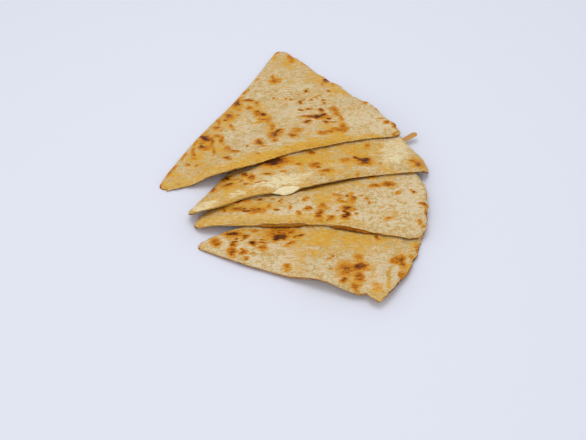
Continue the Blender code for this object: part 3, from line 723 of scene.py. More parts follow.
def shares_of(piece, x, y):
    """(along, across) of points seen from above: place() the other way round."""
    dx, dy = 0.0, 0.0
    for _ in range(OFFSET_ROUNDS):
        from_tip_x, from_tip_y = x - dx - piece.tip[0], y - dy - piece.tip[1]
        across = (np.arctan2(from_tip_y, from_tip_x) - math.radians(piece.lower_deg)) / piece.spread
        held = np.clip(across, 0.0, 1.0)
        inner = tip_distance(piece, held)
        along = (np.hypot(from_tip_x, from_tip_y) - inner) / (rim_distance(piece, held) - inner)
        dx, dy = side_offset(piece, np.clip(along, 0.0, 1.0), held)
    return along, across


def width_at(piece, along):
    """A slice's width from side to side, at its middle line."""
    inner = tip_distance(piece, 0.5)
    return (inner + along * (rim_distance(piece, 0.5) - inner)) * piece.spread


def from_lower_side(piece, along, across):
    """How far in a point is from a slice's lower side."""
    return np.maximum(across, 0.0) * width_at(piece, along)


def tortilla_thickness(along):
    """One tortilla, which is thinner towards the rim."""
    return TORTILLA + (RIM_TORTILLA - TORTILLA) * smooth_step(THIN_TORTILLA_FROM, 1.0, along)


def cheese_thickness(piece, along):
    """Full in the middle, thinner at the tip and pressed thin at the rim."""
    to_rim = smooth_step(0.0, RIM_SHARE, 1.0 - along)
    from_tip = TIP_CHEESE + (1.0 - TIP_CHEESE) * smooth_step(0.0, TIP_SHARE, along)
    return RIM_CHEESE + (piece.cheese - RIM_CHEESE) * to_rim * from_tip


def thickness(piece, along):
    """The whole slice, from the bottom tortilla's underside to the top one's upper side."""
    return 2 * tortilla_thickness(along) + 2 * CLEARANCE + cheese_thickness(piece, along)


def curl(piece, along, across):
    """How far a slice's lower rim corner lifts off what is under it."""
    if not piece.curl:
        return np.zeros_like(along)
    lifting = smooth_step(CURL_ALONG_FROM, 1.0, along)
    return piece.curl * lifting * smooth_step(CURL_ACROSS_TO, 0.0, across)


def disc_offsets(reach_mm):
    """The steps of the grid that lie within a reach."""
    reach = int(round(reach_mm / GRID_STEP))
    steps = range(-reach, reach + 1)
    return [(i, j) for i in steps for j in steps if i * i + j * j <= reach * reach]


def drape(heights, reach_mm):
    """What a soft slice does over these heights: it spans each step with a slope above it."""
    offsets = disc_offsets(reach_mm)
    widened = np.max([np.roll(heights, offset, (0, 1)) for offset in offsets], axis=0)
    return np.mean([np.roll(widened, offset, (0, 1)) for offset in offsets], axis=0)


def stack_slices():
    """{slice name: two grids of the heights of its underside}, from the lowest slice up.

    The second grid hugs what is under it more.
    """
    columns, rows = np.arange(*GRID_X, GRID_STEP), np.arange(*GRID_Y, GRID_STEP)
    x, y = np.meshgrid(columns, rows, indexing="ij")
    top = np.zeros_like(x)
    undersides = {}
    for piece in LOWEST_FIRST:
        along, across = shares_of(piece, x, y)
        held = np.clip(along, 0.0, 1.0)
        lifted = curl(piece, held, np.clip(across, 0.0, 1.0))
        underside = drape(top, DRAPE_REACH) + lifted
        undersides[piece.name] = underside, drape(top, HUG_REACH) + lifted
        margin = GRID_STEP / width_at(piece, held)
        length_margin = GRID_STEP / piece.lower_length
        inside = (along > -length_margin) & (along < 1 + length_margin)
        inside &= (across > -margin) & (across < 1 + margin)
        upper_side = underside + thickness(piece, held) + relief(x, y) + RELIEF + SLICE_GAP
        top = np.where(inside, np.maximum(top, upper_side), top)
    return undersides


def spline_weights(share):
    """The four weights of a cubic spline at a share of a grid's cell."""
    rest = 1.0 - share
    first = rest**3 / 6
    second = (3 * share**3 - 6 * share**2 + 4) / 6
    third = (3 * rest**3 - 6 * rest**2 + 4) / 6
    return first, second, third, share**3 / 6


def height_at(grid, x, y):
    """The grid's height at points, on a smooth spline through its neighbourhood."""
    column, row = (x - GRID_X[0]) / GRID_STEP, (y - GRID_Y[0]) / GRID_STEP
    i, j = np.floor(column).astype(int), np.floor(row).astype(int)
    total = 0.0
    for di, weight_x in enumerate(spline_weights(column - i)):
        for dj, weight_y in enumerate(spline_weights(row - j)):
            total = total + weight_x * weight_y * grid[i + di - 1, j + dj - 1]
    return total


def underside_at(piece, grids, x, y, along, across):
    """Height of a slice's underside. Near its lower cut the slice hugs what is under it."""
    soft, hugging = (height_at(grid, x, y) for grid in grids)
    near_cut = bell(from_lower_side(piece, along, across), HUG_WIDTH)
    hugged = HUG_SHARE * near_cut * smooth_step(*HUGGED[piece.name], along)
    settled = 0.0 if piece is LOWEST_FIRST[0] else SETTLED
    lowered = np.maximum(hugging - settled, 0.0)
    return soft + hugged * (lowered - soft) + front_wave(piece, along, across)


def with_crumple(piece, along, across, x, y, z):
    """Pulls slice 4's lowest rim corner out and down into a little tab."""
    if piece.fold != "lower":
        return x, y, z
    near = bell(x - TAB_X, TAB_HALF_WIDTH) * bell(from_lower_side(piece, along, across), TAB_DEPTH)
    return x, y - TAB_OUT * near, z - TAB_DOWN * near


def front_wave(piece, along, across):
    """How far slice 4's folded front edge waves off the floor."""
    if piece.fold != "lower":
        return np.zeros_like(along)
    rise = FRONT_LIFT * smooth_step(*FRONT_LIFT_FROM, along)
    for middle, width, height in FRONT_SWELLS:
        rise = rise + height * bell(along - middle, width)
    return rise * bell(from_lower_side(piece, along, across), FRONT_WAVE_WIDTH)


# Surface detail. The noise is read from a square of random values, which repeats, and each layer
# of it reads another part of the square.

LATTICE_CELLS = 128
LATTICE_START = 500
LAYER_STEP = (17.3, 5.9)
LATTICE_SEED = 11
LATTICE = np.random.default_rng(LATTICE_SEED).uniform(-1.0, 1.0, (LATTICE_CELLS,) * 2)


def noise(x, y, size, layer):
    """Smooth seeded values from -1 to 1 that change over about size millimetres."""
    u = x / size + LAYER_STEP[0] * layer + LATTICE_START
    v = y / size + LAYER_STEP[1] * layer + LATTICE_START
    i, j = np.floor(u).astype(int), np.floor(v).astype(int)
    a, b = smooth_step(0.0, 1.0, u - i), smooth_step(0.0, 1.0, v - j)
    i, j = i % LATTICE_CELLS, j % LATTICE_CELLS
    next_i, next_j = (i + 1) % LATTICE_CELLS, (j + 1) % LATTICE_CELLS
    near = LATTICE[i, j] * (1 - b) + LATTICE[i, next_j] * b
    far = LATTICE[next_i, j] * (1 - b) + LATTICE[next_i, next_j] * b
    return near * (1 - a) + far * a


def layered_noise(x, y, parts, layer, step=1):
    """A sum of noises, each with its own height, size and layer."""
    total = 0.0
    for count, (height, size) in enumerate(parts):
        total = total + height * noise(x, y, size, layer + step * count)
    return total


def apparent(x, y, z):
    """Where the camera sees a point on the level that the marks are placed on."""
    share = (EYE[2] - MARK_LEVEL) / (EYE[2] - z)
    return EYE[0] + (x - EYE[0]) * share, EYE[1] + (y - EYE[1]) * share


def spots(marks, x, y, wander, hardness, halo):
    """The strongest of some oval marks at each point, with uneven outlines and a fainter halo."""
    read_x, read_y = SPOT_STRETCH[0] * x, SPOT_STRETCH[1] * y
    uneven_x = x + wander * layered_noise(read_x, read_y, SPOT_OUTLINES, 1)
    uneven_y = y + wander * layered_noise(read_x, read_y, SPOT_OUTLINES, 3)
    total = np.zeros_like(x)
    glow = np.zeros_like(x)
    for mark_x, mark_y, extent_x, extent_y, turn_deg, strength in marks:
        turn = math.radians(turn_deg)
        off_x, off_y = uneven_x - mark_x, uneven_y - mark_y
        ahead = (off_x * math.cos(turn) + off_y * math.sin(turn)) / (extent_x / 2)
        aside = (off_y * math.cos(turn) - off_x * math.sin(turn)) / (extent_y / 2)
        squared = ahead**2 + aside**2
        total = np.maximum(total, strength / (1 + squared**hardness))
        glow = np.maximum(glow, strength * np.exp(-squared / 4))
    return total + halo * glow


def creases(folds, x, y):
    """Height of the sharp little folds at each point."""
    total = np.zeros_like(x)
    uneven_x = x + CREASE_WANDER * noise(x, y, CREASE_WANDER_SIZE, 5)
    uneven_y = y + CREASE_WANDER * noise(x, y, CREASE_WANDER_SIZE, 6)
    for start_x, start_y, end_x, end_y, width, height in folds:
        reach_x, reach_y = end_x - start_x, end_y - start_y
        length = math.hypot(reach_x, reach_y)
        off_x, off_y = uneven_x - start_x, uneven_y - start_y
        share = (off_x * reach_x + off_y * reach_y) / length**2
        aside = (off_x * reach_y - off_y * reach_x) / length
        ends = smooth_step(0.0, CREASE_ENDS, share) * smooth_step(1.0, 1.0 - CREASE_ENDS, share)
        total += height * ends * np.exp(-((aside / width) ** 2) * 2)
    return total


def wrinkles(x, y, seed):
    """Small ridges of the baked skin, from about -1 to 1."""
    bend_x = x + WRINKLE_BEND * noise(x, y, WRINKLE_BEND_SIZE, 7 + seed)
    bend_y = y + WRINKLE_BEND * noise(x, y, WRINKLE_BEND_SIZE, 8 + seed)
    folded = np.abs(noise(bend_x * WRINKLE_STRETCH, bend_y, WRINKLE_SIZE, 9 + seed))
    ridges = 1.0 - 2.0 * folded
    return RIDGES * ridges + LUMPS * layered_noise(x, y, SKIN_LUMPS, 10 + seed)


def even_ends(share):
    """Spaces a grid's lines closer together towards both ends."""
    return (share + smooth_step(0.0, 1.0, share)) / 2


def open_edge_distance(piece, along, across):
    """How far a point is from the nearest cut, tip or rim. A fold isn't an open edge."""
    width = width_at(piece, along)
    nearest = np.minimum(along, 1 - along) * piece.lower_length
    if piece.fold != "lower":
        nearest = np.minimum(nearest, across * width)
    if piece.fold != "upper":
        nearest = np.minimum(nearest, (1 - across) * width)
    return np.maximum(nearest, 0.0)


def pinch(piece, along, across):
    """The share of a slice's height that is left at its fold, which was pressed in the pan."""
    if not piece.fold:
        return np.ones_like(along)
    from_fold = (across if piece.fold == "lower" else 1 - across) * width_at(piece, along)
    return 1 - PINCH * bell(np.maximum(from_fold, 0.0), PINCH_WIDTH)


def cut_distance(piece, along, across):
    """How far a point is from the nearest cut side."""
    width = width_at(piece, along)
    lower = np.full_like(width, FAR) if piece.fold == "lower" else across * width
    upper = np.full_like(width, FAR) if piece.fold == "upper" else (1 - across) * width
    return np.maximum(np.minimum(lower, upper), 0.0)


def skirt(piece, along, across):
    """How much of the cut's golden look the upper side has where its edge is bent down."""
    reach, end, sharp = SKIRTS[piece.name]
    kept = smooth_step(end + SKIRT_END, end - SKIRT_END, along)
    wander = noise(along * SKIRT_LUMPS[0], across * SKIRT_LUMPS[1], SKIRT_LUMPS[2], 19)
    inside = cut_distance(piece, along, across) + SKIRT_WANDER * wander
    gradual = (1 - np.clip(inside / reach, 0.0, 1.0)) ** SKIRT_FALL
    sudden = smooth_step(reach, SKIRT_START * reach, inside)
    near_tip = fading(along * piece.lower_length, SKIRT_TIP_REACH)
    return np.maximum(kept * (gradual + (sudden - gradual) * sharp), GOLDEN_EDGE * near_tip)


def gape(piece, along, across):
    """1 where a lower cut gapes, and 0 elsewhere."""
    total = np.zeros_like(along)
    for start, end in GAPING.get(piece.name, ()):
        opened = smooth_step(start - GAPE_END, start + GAPE_END, along)
        total = total + opened * smooth_step(end + GAPE_END, end - GAPE_END, along)
    return total * bell(from_lower_side(piece, along, across), GAPE_WIDTH)


def closing(piece, along, across):
    """1 at an open edge, where the knife pressed the tortillas together, and 0 well inside."""
    reach, end, _ = SKIRTS[piece.name]
    kept = smooth_step(end + SKIRT_END, end - SKIRT_END, along)
    reach = LEAST_CLOSING + (reach - LEAST_CLOSING) * kept
    inside = open_edge_distance(piece, along, across) / reach
    closed = (1 - np.clip(inside, 0.0, 1.0)) ** CLOSING_FALL
    return closed * (1 - GAPE_OPENS * gape(piece, along, across))


def edge_droop(piece, along, across):
    """How far the top tortilla is pressed down towards an open edge."""
    room = cheese_thickness(piece, along) + CLEARANCES_PRESSED * CLEARANCE
    return PRESSED[piece.name] * room * closing(piece, along, across)


def skin_thickness(piece, along, across):
    """A tortilla's thickness, which is less where it was cut."""
    edge = open_edge_distance(piece, along, across)
    return tortilla_thickness(along) * (1 - CUT_THINNING * bell(edge, CUT_THINNING_WIDTH))


def ragged_place(piece, along, across, ahead, aside, layer, rim_reach, overhang):
    """place(), with little bites and tabs at the cuts and the rim.

    A point is pushed ahead and aside as well. The overhang is how far this layer stands out of
    the lower cut.
    """
    width = width_at(piece, along)
    length = piece.lower_length
    seed = 10 * piece.seed + layer
    run = along * length
    if piece.fold != "lower":
        bite = layered_noise(run, LOWER_ROW * seed, CUT_BITES, 12)
        across = across - bite * fading(np.maximum(across, 0) * width, CUT_BITE_REACH) / width
        across = across - overhang * fading(np.maximum(across, 0) * width, OVERHANG_REACH) / width
    if piece.fold != "upper":
        bite = layered_noise(run, UPPER_ROW * seed, CUT_BITES, 14)
        across = across + bite * fading(np.maximum(1 - across, 0) * width, CUT_BITE_REACH) / width
    bite = rim_reach * layered_noise(across * width, RIM_ROW * seed, RIM_BITES, 16)
    along = along + bite * fading(np.maximum(1 - along, 0) * length, RIM_BITE_REACH) / length
    x, y = place(piece, along + ahead / length, across + aside / width)
    return with_swelling(piece, along, across, x, y)


# Meshes. A grid is extruded to a unit slab. A shape function says where each of its points goes.


def across_of_line(piece, along, share):
    """Where a grid line runs across a slice.

    Share 0 is a cut side. Share 1 is the other cut, or the start of the fold.
    """
    if not piece.fold:
        return even_ends(share)
    from_cut = even_ends(share) * (1 - thickness(piece, along) / 2 / width_at(piece, along))
    return 1 - from_cut if piece.fold == "lower" else from_cut


def outward(share):
    """-1 on the wall at share 0, 1 on the wall at share 1, and 0 elsewhere."""
    return np.where(share < ON_EDGE, -1.0, np.where(share > 1 - ON_EDGE, 1.0, 0.0))


def slab(builder, cells, wall_cuts, shape):
    """Adds a slab to the builder, and returns its points and values as the shape gives them."""
    columns, rows = cells
    made = bmesh.ops.create_grid(builder, x_segments=columns, y_segments=rows, size=0.5)
    bmesh.ops.translate(builder, verts=made["verts"], vec=(0.5, 0.5, 0.0))
    grown = bmesh.ops.extrude_face_region(builder, geom=builder.faces[:])["geom"]
    upper = [element for element in grown if isinstance(element, bmesh.types.BMVert)]
    bmesh.ops.translate(builder, verts=upper, vec=(0.0, 0.0, 1.0))
    uprights = [e for e in builder.edges if abs(e.verts[0].co.z - e.verts[1].co.z) > 0.5]
    bmesh.ops.subdivide_edges(builder, edges=uprights, cuts=wall_cuts)
    unit = np.array([v.co for v in builder.verts], dtype=float)
    return shape(unit[:, 0], unit[:, 1], unit[:, 2])


def finish_piece(name, builder, points, values, finish):
    """Makes the piece that stands for a node of the frame. Nothing sinks into the floor."""
    points[:, 2] = np.maximum(points[:, 2], 0.0)
    for v, point in zip(builder.verts, points):
        v.co = point
    bmesh.ops.translate(builder, verts=builder.verts, vec=(*CENTRE, 0.0))
    bmesh.ops.scale(builder, verts=builder.verts, vec=(MM, MM, MM))
    bmesh.ops.recalc_face_normals(builder, faces=builder.faces)
    mesh = bpy.data.meshes.new(name)
    builder.to_mesh(mesh)
    builder.free()
    for value_name, numbers in values.items():
        attribute = mesh.attributes.new(value_name, "FLOAT", "POINT")
        attribute.data.foreach_set("value", numbers)
    mesh.materials.append(finish)
    mesh.shade_smooth()
    piece = bpy.data.objects.new(f"{name}_look", mesh)
    bpy.context.scene.collection.objects.link(piece)
    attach(piece, "root")
    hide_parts(name)
    return piece


def tortilla_values(piece, x, y, z, upper, cut, bend=0.0):
    """What the tortilla's material needs to know at each point, such as how toasted it is."""
    seen_x, seen_y = apparent(x, y, z)
    toast = DARKNESS * spots(BROWNED[piece.name], seen_x, seen_y, *BROWNED_LOOK)
    toast = np.maximum(toast, rim_toast(piece, x, y))
    oil = spots(OILY[piece.name], seen_x, seen_y, *OILY_LOOK)
    pale = spots(PALE[piece.name], seen_x, seen_y, *PALE_LOOK)
    smear = spots(SMEARED_AND_GLINTS.get(piece.name, ()), seen_x, seen_y, *SMEARED_LOOK)
    folds = creases(CREASES[piece.name], seen_x, seen_y) * upper
    # Painted shade, partly toast: the lower outside of a fold's bend is browned.
    patchy = BEND_PATCHES * noise(x, y, BEND_PATCH_SIZE, 90 + piece.seed)
    bent = BEND_SHADE_AND_TOAST * bend * (LEAST_BEND_SHADE_AND_TOAST + patchy)
    below = np.maximum(spots_below(piece, x, y), bent)
    return {
        # Painted shade in the grooves of wrinkles and folds, and painted light on the ridges of the
        # folds in the pale value.
        "groove": -wrinkles(x, y, piece.seed) - FOLD_GROOVE_SHADE * folds,
        "toast": toast * upper + below * (1 - upper),
        "oil": oil * upper + OIL_BELOW * (1 - upper),
        "pale": np.maximum(pale + FOLD_RIDGE_LIGHT * folds, 0.0) * upper,
        "smear": smear * upper,
        "cut": cut,
    }


def rim_toast(piece, x, y):
    """Small browned specks along the rim and on a fold, where a thin edge met the pan."""
    along, across = shares_of(piece, x, y)
    from_rim = (1 - along) * piece.lower_length
    around = across * width_at(piece, 1.0)
    speckled = layered_noise(around, from_rim, RIM_SPECKS, 70 + piece.seed, 10)
    at_rim = bell(from_rim, RIM_TOAST_WIDTH)
    toast = RIM_TOAST * smooth_step(*RIM_TOAST_FROM, speckled) * at_rim
    if piece.fold == "upper":
        run = along * piece.lower_length
        from_fold = (1 - across) * width_at(piece, along)
        patchy = smooth_step(*FOLD_TOAST_FROM, layered_noise(run, from_fold, FOLD_PATCHES, 75))
        at_fold = bell(from_fold - FOLD_TOAST_AT, FOLD_TOAST_WIDTH)
        toast = np.maximum(toast, FOLD_TOAST * patchy * at_fold)
    return toast


def spots_below(piece, x, y):
    """Browned spots of a side that the camera doesn't see."""
    patchy = layered_noise(x, y, PATCHES_BELOW, 20 + piece.seed, 10)
    return TOAST_BELOW * smooth_step(*TOAST_BELOW_FROM, patchy)


def top_detail(piece, x, y, z, toast, settings):
    """How far the upper side's blisters, wrinkles and creases stand up."""
    seen_x, seen_y = apparent(x, y, z)
    fold_lines = creases(CREASES[piece.name], seen_x, seen_y)
    blistered = settings.blister / MM * smooth_step(*BLISTERED_FROM, toast)
    return blistered + settings.wrinkle / MM * wrinkles(x, y, piece.seed) + fold_lines


def ooze_at(piece, along, amount):
    """(how far out, how far down) cheese has run out of a cut along a slice."""
    out = np.zeros_like(along)
    down = np.zeros_like(along)
    for start, end, reach, sag in OOZE.get(piece.name, ()):
        share = smooth_step(start - OOZE_START[0], start + OOZE_START[1], along)
        share = share * smooth_step(end + OOZE_END[0], end - OOZE_END[1], along)
        out = np.maximum(out, amount * reach * share)
        down = np.maximum(down, amount * sag * share)
    return out, down


def top_overhang(piece, along):
    """How far the top tortilla stands out over the lower cut, less where cheese has run out."""
    return TOP_OUT - OOZE_DRAWS_TOP_BACK * ooze_at(piece, along, 1.0)[0]


def bottom_overhang(gaping):
    """How far the bottom tortilla stands out: it stays back, except where the cut gapes."""
    return GAPE_BOTTOM_OUT * gaping - BOTTOM_BACK


def edge_rounding(own, edge):
    """How much of a tortilla's own thickness its rounded edge takes off."""
    return ROUNDING * own * bell(edge, ROUNDING_WIDTH)


def flat_shape(piece, underside, is_top, settings):
    """The shape function of one flat tortilla."""

    def shape(along_share, across_share, level):
        along = even_ends(along_share)
        across = across_of_line(piece, along, across_share)
        bulge = WALL_BULGE * np.sin(math.pi * level)
        gaping = gape(piece, along, across)
        overhang = top_overhang(piece, along) if is_top else bottom_overhang(gaping)
        x, y = ragged_place(
            piece, along, across, bulge * outward(along_share), bulge * outward(across_share),
            2 if is_top else 1, settings.ragged_rim / MM, overhang,
        )
        base = underside_at(piece, underside, x, y, along, across)
        own = skin_thickness(piece, along, across)
        edge = open_edge_distance(piece, along, across)
        rounding = edge_rounding(own, edge)
        if is_top:
            base = base + thickness(piece, along) - tortilla_thickness(along) + relief(x, y)
            base = base - edge_droop(piece, along, across)
        z = base + level * own
        upper = smooth_step(*UPPER_SIDE_FROM, level) if is_top else np.zeros_like(level)
        wall = fading(edge, CUT_LOOK_REACH) * (1 - CUT_LOOK_LESS_ABOVE * level)
        # The cut edges are browned, partly as fried edges and partly as painted shade for the dark
        # line under a cut; the bottom one more where the cut gapes, as painted shade in the gap.
        if is_top:
            wall = np.maximum(wall, GOLDEN_EDGE * skirt(piece, along, across))
            edge_toast_and_shade = SHADED_FRIED_TOP_EDGE * fading(edge, CUT_LOOK_REACH) * (1 - level)
        else:
            fried = SHADED_FRIED_BOTTOM_EDGE + GAPE_PAINTED_SHADE * gaping
            edge_toast_and_shade = fried * fading(edge, SHADED_FRIED_BOTTOM_REACH)
        values = tortilla_values(piece, x, y, z, upper, wall)
        values["toast"] = np.maximum(values["toast"], edge_toast_and_shade)
        if is_top:
            detail = top_detail(piece, x, y, z, values["toast"], settings)
            z = z + level * (detail - rounding)
        else:
            z = z - level * BOTTOM_ROUNDING[1] * rounding
            z = z + (1 - level) * BOTTOM_ROUNDING[0] * rounding
        return np.stack((x, y, z), axis=1), values

    return shape


def folded_shape(piece, underside, settings):
    """The shape function of a folded tortilla.

    Its path runs out along the bottom, round the bend and back on top.
    """
    side = -1.0 if piece.fold == "lower" else 1.0
    top_start = FOLDED_BOTTOM_SHARE + FOLDED_BEND_SHARE

    def shape(along_share, path_share, level):
        along = even_ends(along_share)
        radius = thickness(piece, along) / 2
        turned = np.clip((path_share - FOLDED_BOTTOM_SHARE) / FOLDED_BEND_SHARE, 0.0, 1.0)
        turn = math.pi * (turned - 0.5)
        from_cut = np.minimum(path_share / FOLDED_BOTTOM_SHARE, (1 - path_share) / (1 - top_start))
        from_cut = np.clip(from_cut, 0.0, 1.0)
        width = width_at(piece, along)
        own = skin_thickness(piece, along, across_of_line(piece, along, from_cut))
        reach = radius - level * own
        across = across_of_line(piece, along, from_cut) + side * reach * np.cos(turn) / width
        bulge = WALL_BULGE * np.sin(math.pi * level)
        below = bottom_overhang(gape(piece, along, across))
        overhang = np.where(path_share > 0.5, top_overhang(piece, along), below)
        x, y = ragged_place(
            piece, along, across, bulge * outward(along_share),
            -side * bulge * np.abs(outward(path_share)), 3, settings.ragged_rim / MM, overhang,
        )
        on_top = smooth_step(*ON_TOP_FROM, np.sin(turn))
        edge = open_edge_distance(piece, along, across)
        flat = pinch(piece, along, across)
        z = underside_at(piece, underside, x, y, along, across)
        z = z + (radius + reach * np.sin(turn)) * flat
        z = z + on_top * (relief(x, y) - tortilla_thickness(along) + own)
        z = z - on_top * edge_droop(piece, along, across)
        outer = 1 - level
        wall = fading(edge, CUT_LOOK_REACH) * (1 - CUT_LOOK_LESS_ABOVE * on_top * outer)
        wall = np.maximum(wall, GOLDEN_EDGE * skirt(piece, along, across) * on_top)
        # The lower outside of the bend, which is browned as painted shade and as toast.
        bend = smooth_step(*BEND_LOW_FROM, np.sin(turn)) * smooth_step(*BEND_OUT_FROM, np.cos(turn))
        x, y, z = with_crumple(piece, along, across, x, y, z)
        upper = on_top * smooth_step(*UPPER_SIDE_FROM, outer)
        values = tortilla_values(piece, x, y, z, upper, wall, bend)
        # The cut edges are browned, partly as fried edges and partly as painted shade for the dark
        # line under a cut.
        edge_toast_and_shade = SHADED_FRIED_BOTTOM_EDGE * fading(edge, SHADED_FRIED_BOTTOM_REACH) * (1 - on_top)
        top_toast_and_shade = SHADED_FRIED_TOP_EDGE * fading(edge, CUT_LOOK_REACH) * on_top * level
        values["toast"] = np.maximum(values["toast"], edge_toast_and_shade + top_toast_and_shade)
        rounding = edge_rounding(own, edge)
        detail = top_detail(piece, x, y, z, values["toast"], settings)
        z = z + on_top * outer * (detail - rounding)
        z = z + (1 - on_top) * outer * FOLDED_BOTTOM_ROUNDING * rounding
        return np.stack((x, y, z), axis=1), values

    return shape


def away_from(piece, x, y, at_cut, at_tip):
    """The level direction that points away from a slice, at its cuts and round its tip."""
    middle = math.radians((piece.lower_deg + piece.upper_deg) / 2)
    reach = TIP_RADIUS / math.sin(piece.spread / 2)
    round_x = x - piece.tip[0] - reach * math.cos(middle)
    round_y = y - piece.tip[1] - reach * math.sin(middle)
    length = np.maximum(np.hypot(round_x, round_y), 0.001)
    lower, upper = math.radians(piece.lower_deg - 90), math.radians(piece.upper_deg + 90)
    side = np.where(at_cut < 0, lower, upper)
    amount = np.abs(at_cut)
    away_x = np.where(at_tip, round_x / length, amount * np.cos(side))
    away_y = np.where(at_tip, round_y / length, amount * np.sin(side))
    return away_x, away_y


def cheese_shape(piece, underside, amount):
    """The shape function of a cheese layer, which runs out of the cuts and thins to the rim."""

    def shape(along_share, across_share, level):
        along = even_ends(along_share) * CHEESE_END
        across = across_of_line(piece, along, across_share)
        at_cut = outward(across_share)
        if piece.fold:
            at_cut = np.where(across_share < ON_EDGE, -1.0 if piece.fold == "upper" else 1.0, 0.0)
        at_tip = along_share < ON_EDGE
        open_side = np.maximum(np.abs(at_cut), at_tip)
        run = along * piece.lower_length + across * CHEESE_ROW
        lumpy = CHEESE_LUMPS_LEAST
        for count, (height, rise, size) in enumerate(CHEESE_LUMPS):
            lumpy = lumpy + height * noise(run, level * rise, size, 40 + 10 * count + piece.seed)
        out, down = ooze_at(piece, along, amount)
        profile = np.sin(math.pi * (CHEESE_ROUNDNESS + (1 - 2 * CHEESE_ROUNDNESS) * level))
        gaping = gape(piece, along, across)
        swell = out * smooth_step(0.0, CHEESE_TIP, along) - CHEESE_BACK - GAPE_CHEESE_BACK * gaping
        swell = swell * profile * lumpy * open_side
        x, y = with_swelling(piece, along, across, *place(piece, along, across))
        away_x, away_y = away_from(piece, x, y, at_cut, at_tip)
        x, y = x + away_x * swell, y + away_y * swell
        gap = CLEARANCE * (1 - CHEESE_GAP_CLOSED * closing(piece, along, across))
        low = skin_thickness(piece, along, across) + gap
        high = tortilla_thickness(along) + 2 * CLEARANCE + cheese_thickness(piece, along) - gap
        flat = pinch(piece, along, across)
        z = underside_at(piece, underside, x, y, along, across)
        z = z + (low + level * (high - low)) * flat
        z = z + level * (relief(x, y) - edge_droop(piece, along, across))
        sagging = CHEESE_SAG_LEAST + (1 - CHEESE_SAG_LEAST) * lumpy
        z = z - open_side * down * profile**2 * sagging
        z = z + open_side * CHEESE_SIDE_RISE * (level - 0.5) * (along < CHEESE_SIDE_END)
        # The crisp colour goes where the cheese fried near the rim, and as painted shade where a
        # cut gapes.
        fried = np.maximum(smooth_step(CHEESE_FRIED_FROM, 1.0, along), gaping)
        pale = smooth_step(*CHEESE_PALE_FROM, out)
        return np.stack((x, y, z), axis=1), {"fried": fried, "pale": pale}

    return shape


def strand_points(piece, underside, unit):
    """Where points of the unit sphere go on the crisp strand, which widens past the rim."""
    share = (unit[:, 2] + 1) / 2
    bearing = math.radians(STRAND_BEARING_DEG)
    reach = share * STRAND_LENGTH - STRAND_FROM_RIM
    inside = np.minimum(reach, 0.0)
    rim_x, rim_y = place(piece, 1.0, STRAND_ACROSS)
    inner_x, inner_y = rim_x + inside * math.cos(bearing), rim_y + inside * math.sin(bearing)
    along = np.minimum(shares_of(piece, inner_x, inner_y)[0], 1.0)
    base = underside_at(piece, underside, inner_x, inner_y, along, STRAND_ACROSS)
    cheese_floor = base + tortilla_thickness(along) + CLEARANCE
    middle = cheese_floor + (cheese_thickness(piece, along) + relief(inner_x, inner_y)) / 2
    middle = middle + STRAND_RISE * (reach - inside)
    swell = 1 + STRAND_SWELL * smooth_step(0.0, STRAND_LENGTH - STRAND_FROM_RIM, reach)
    round_end = np.maximum(np.sqrt(1 - np.minimum(unit[:, 2] ** 2, 1.0)), STRAND_THINNEST)
    blunt = (1 - np.abs(unit[:, 2]) ** STRAND_BLUNTNESS) ** 0.5 / round_end
    swell = swell * np.where(reach > 0, blunt, 1 + (blunt - 1) * STRAND_INNER_BLUNTNESS)
    knobbly = 1 + STRAND_KNOBS * noise(reach, unit[:, 0], STRAND_KNOB_SIZE, 60)
    aside = STRAND_HALF_WIDTH * swell * knobbly * unit[:, 0]
    lift = STRAND_HALF_THICKNESS * swell * knobbly * unit[:, 1]
    x = rim_x + reach * math.cos(bearing) - aside * math.sin(bearing)
    y = rim_y + reach * math.sin(bearing) + aside * math.cos(bearing)
    return np.stack((x, y, middle + lift), axis=1)


def add_strand(builder, piece, underside, points, values):
    """Adds the crisp strand to a cheese layer."""
    around, ahead = STRAND_SEGMENTS
    made = bmesh.ops.create_uvsphere(builder, u_segments=around, v_segments=ahead, radius=1.0)
    unit = np.array([v.co for v in made["verts"]], dtype=float)
    points = np.concatenate((points, strand_points(piece, underside, unit)))
    count = len(unit)
    fried = np.concatenate((values["fried"], np.ones(count)))
    pale = np.concatenate((values["pale"], np.zeros(count)))
    return points, {"fried": fried, "pale": pale}


# Materials.


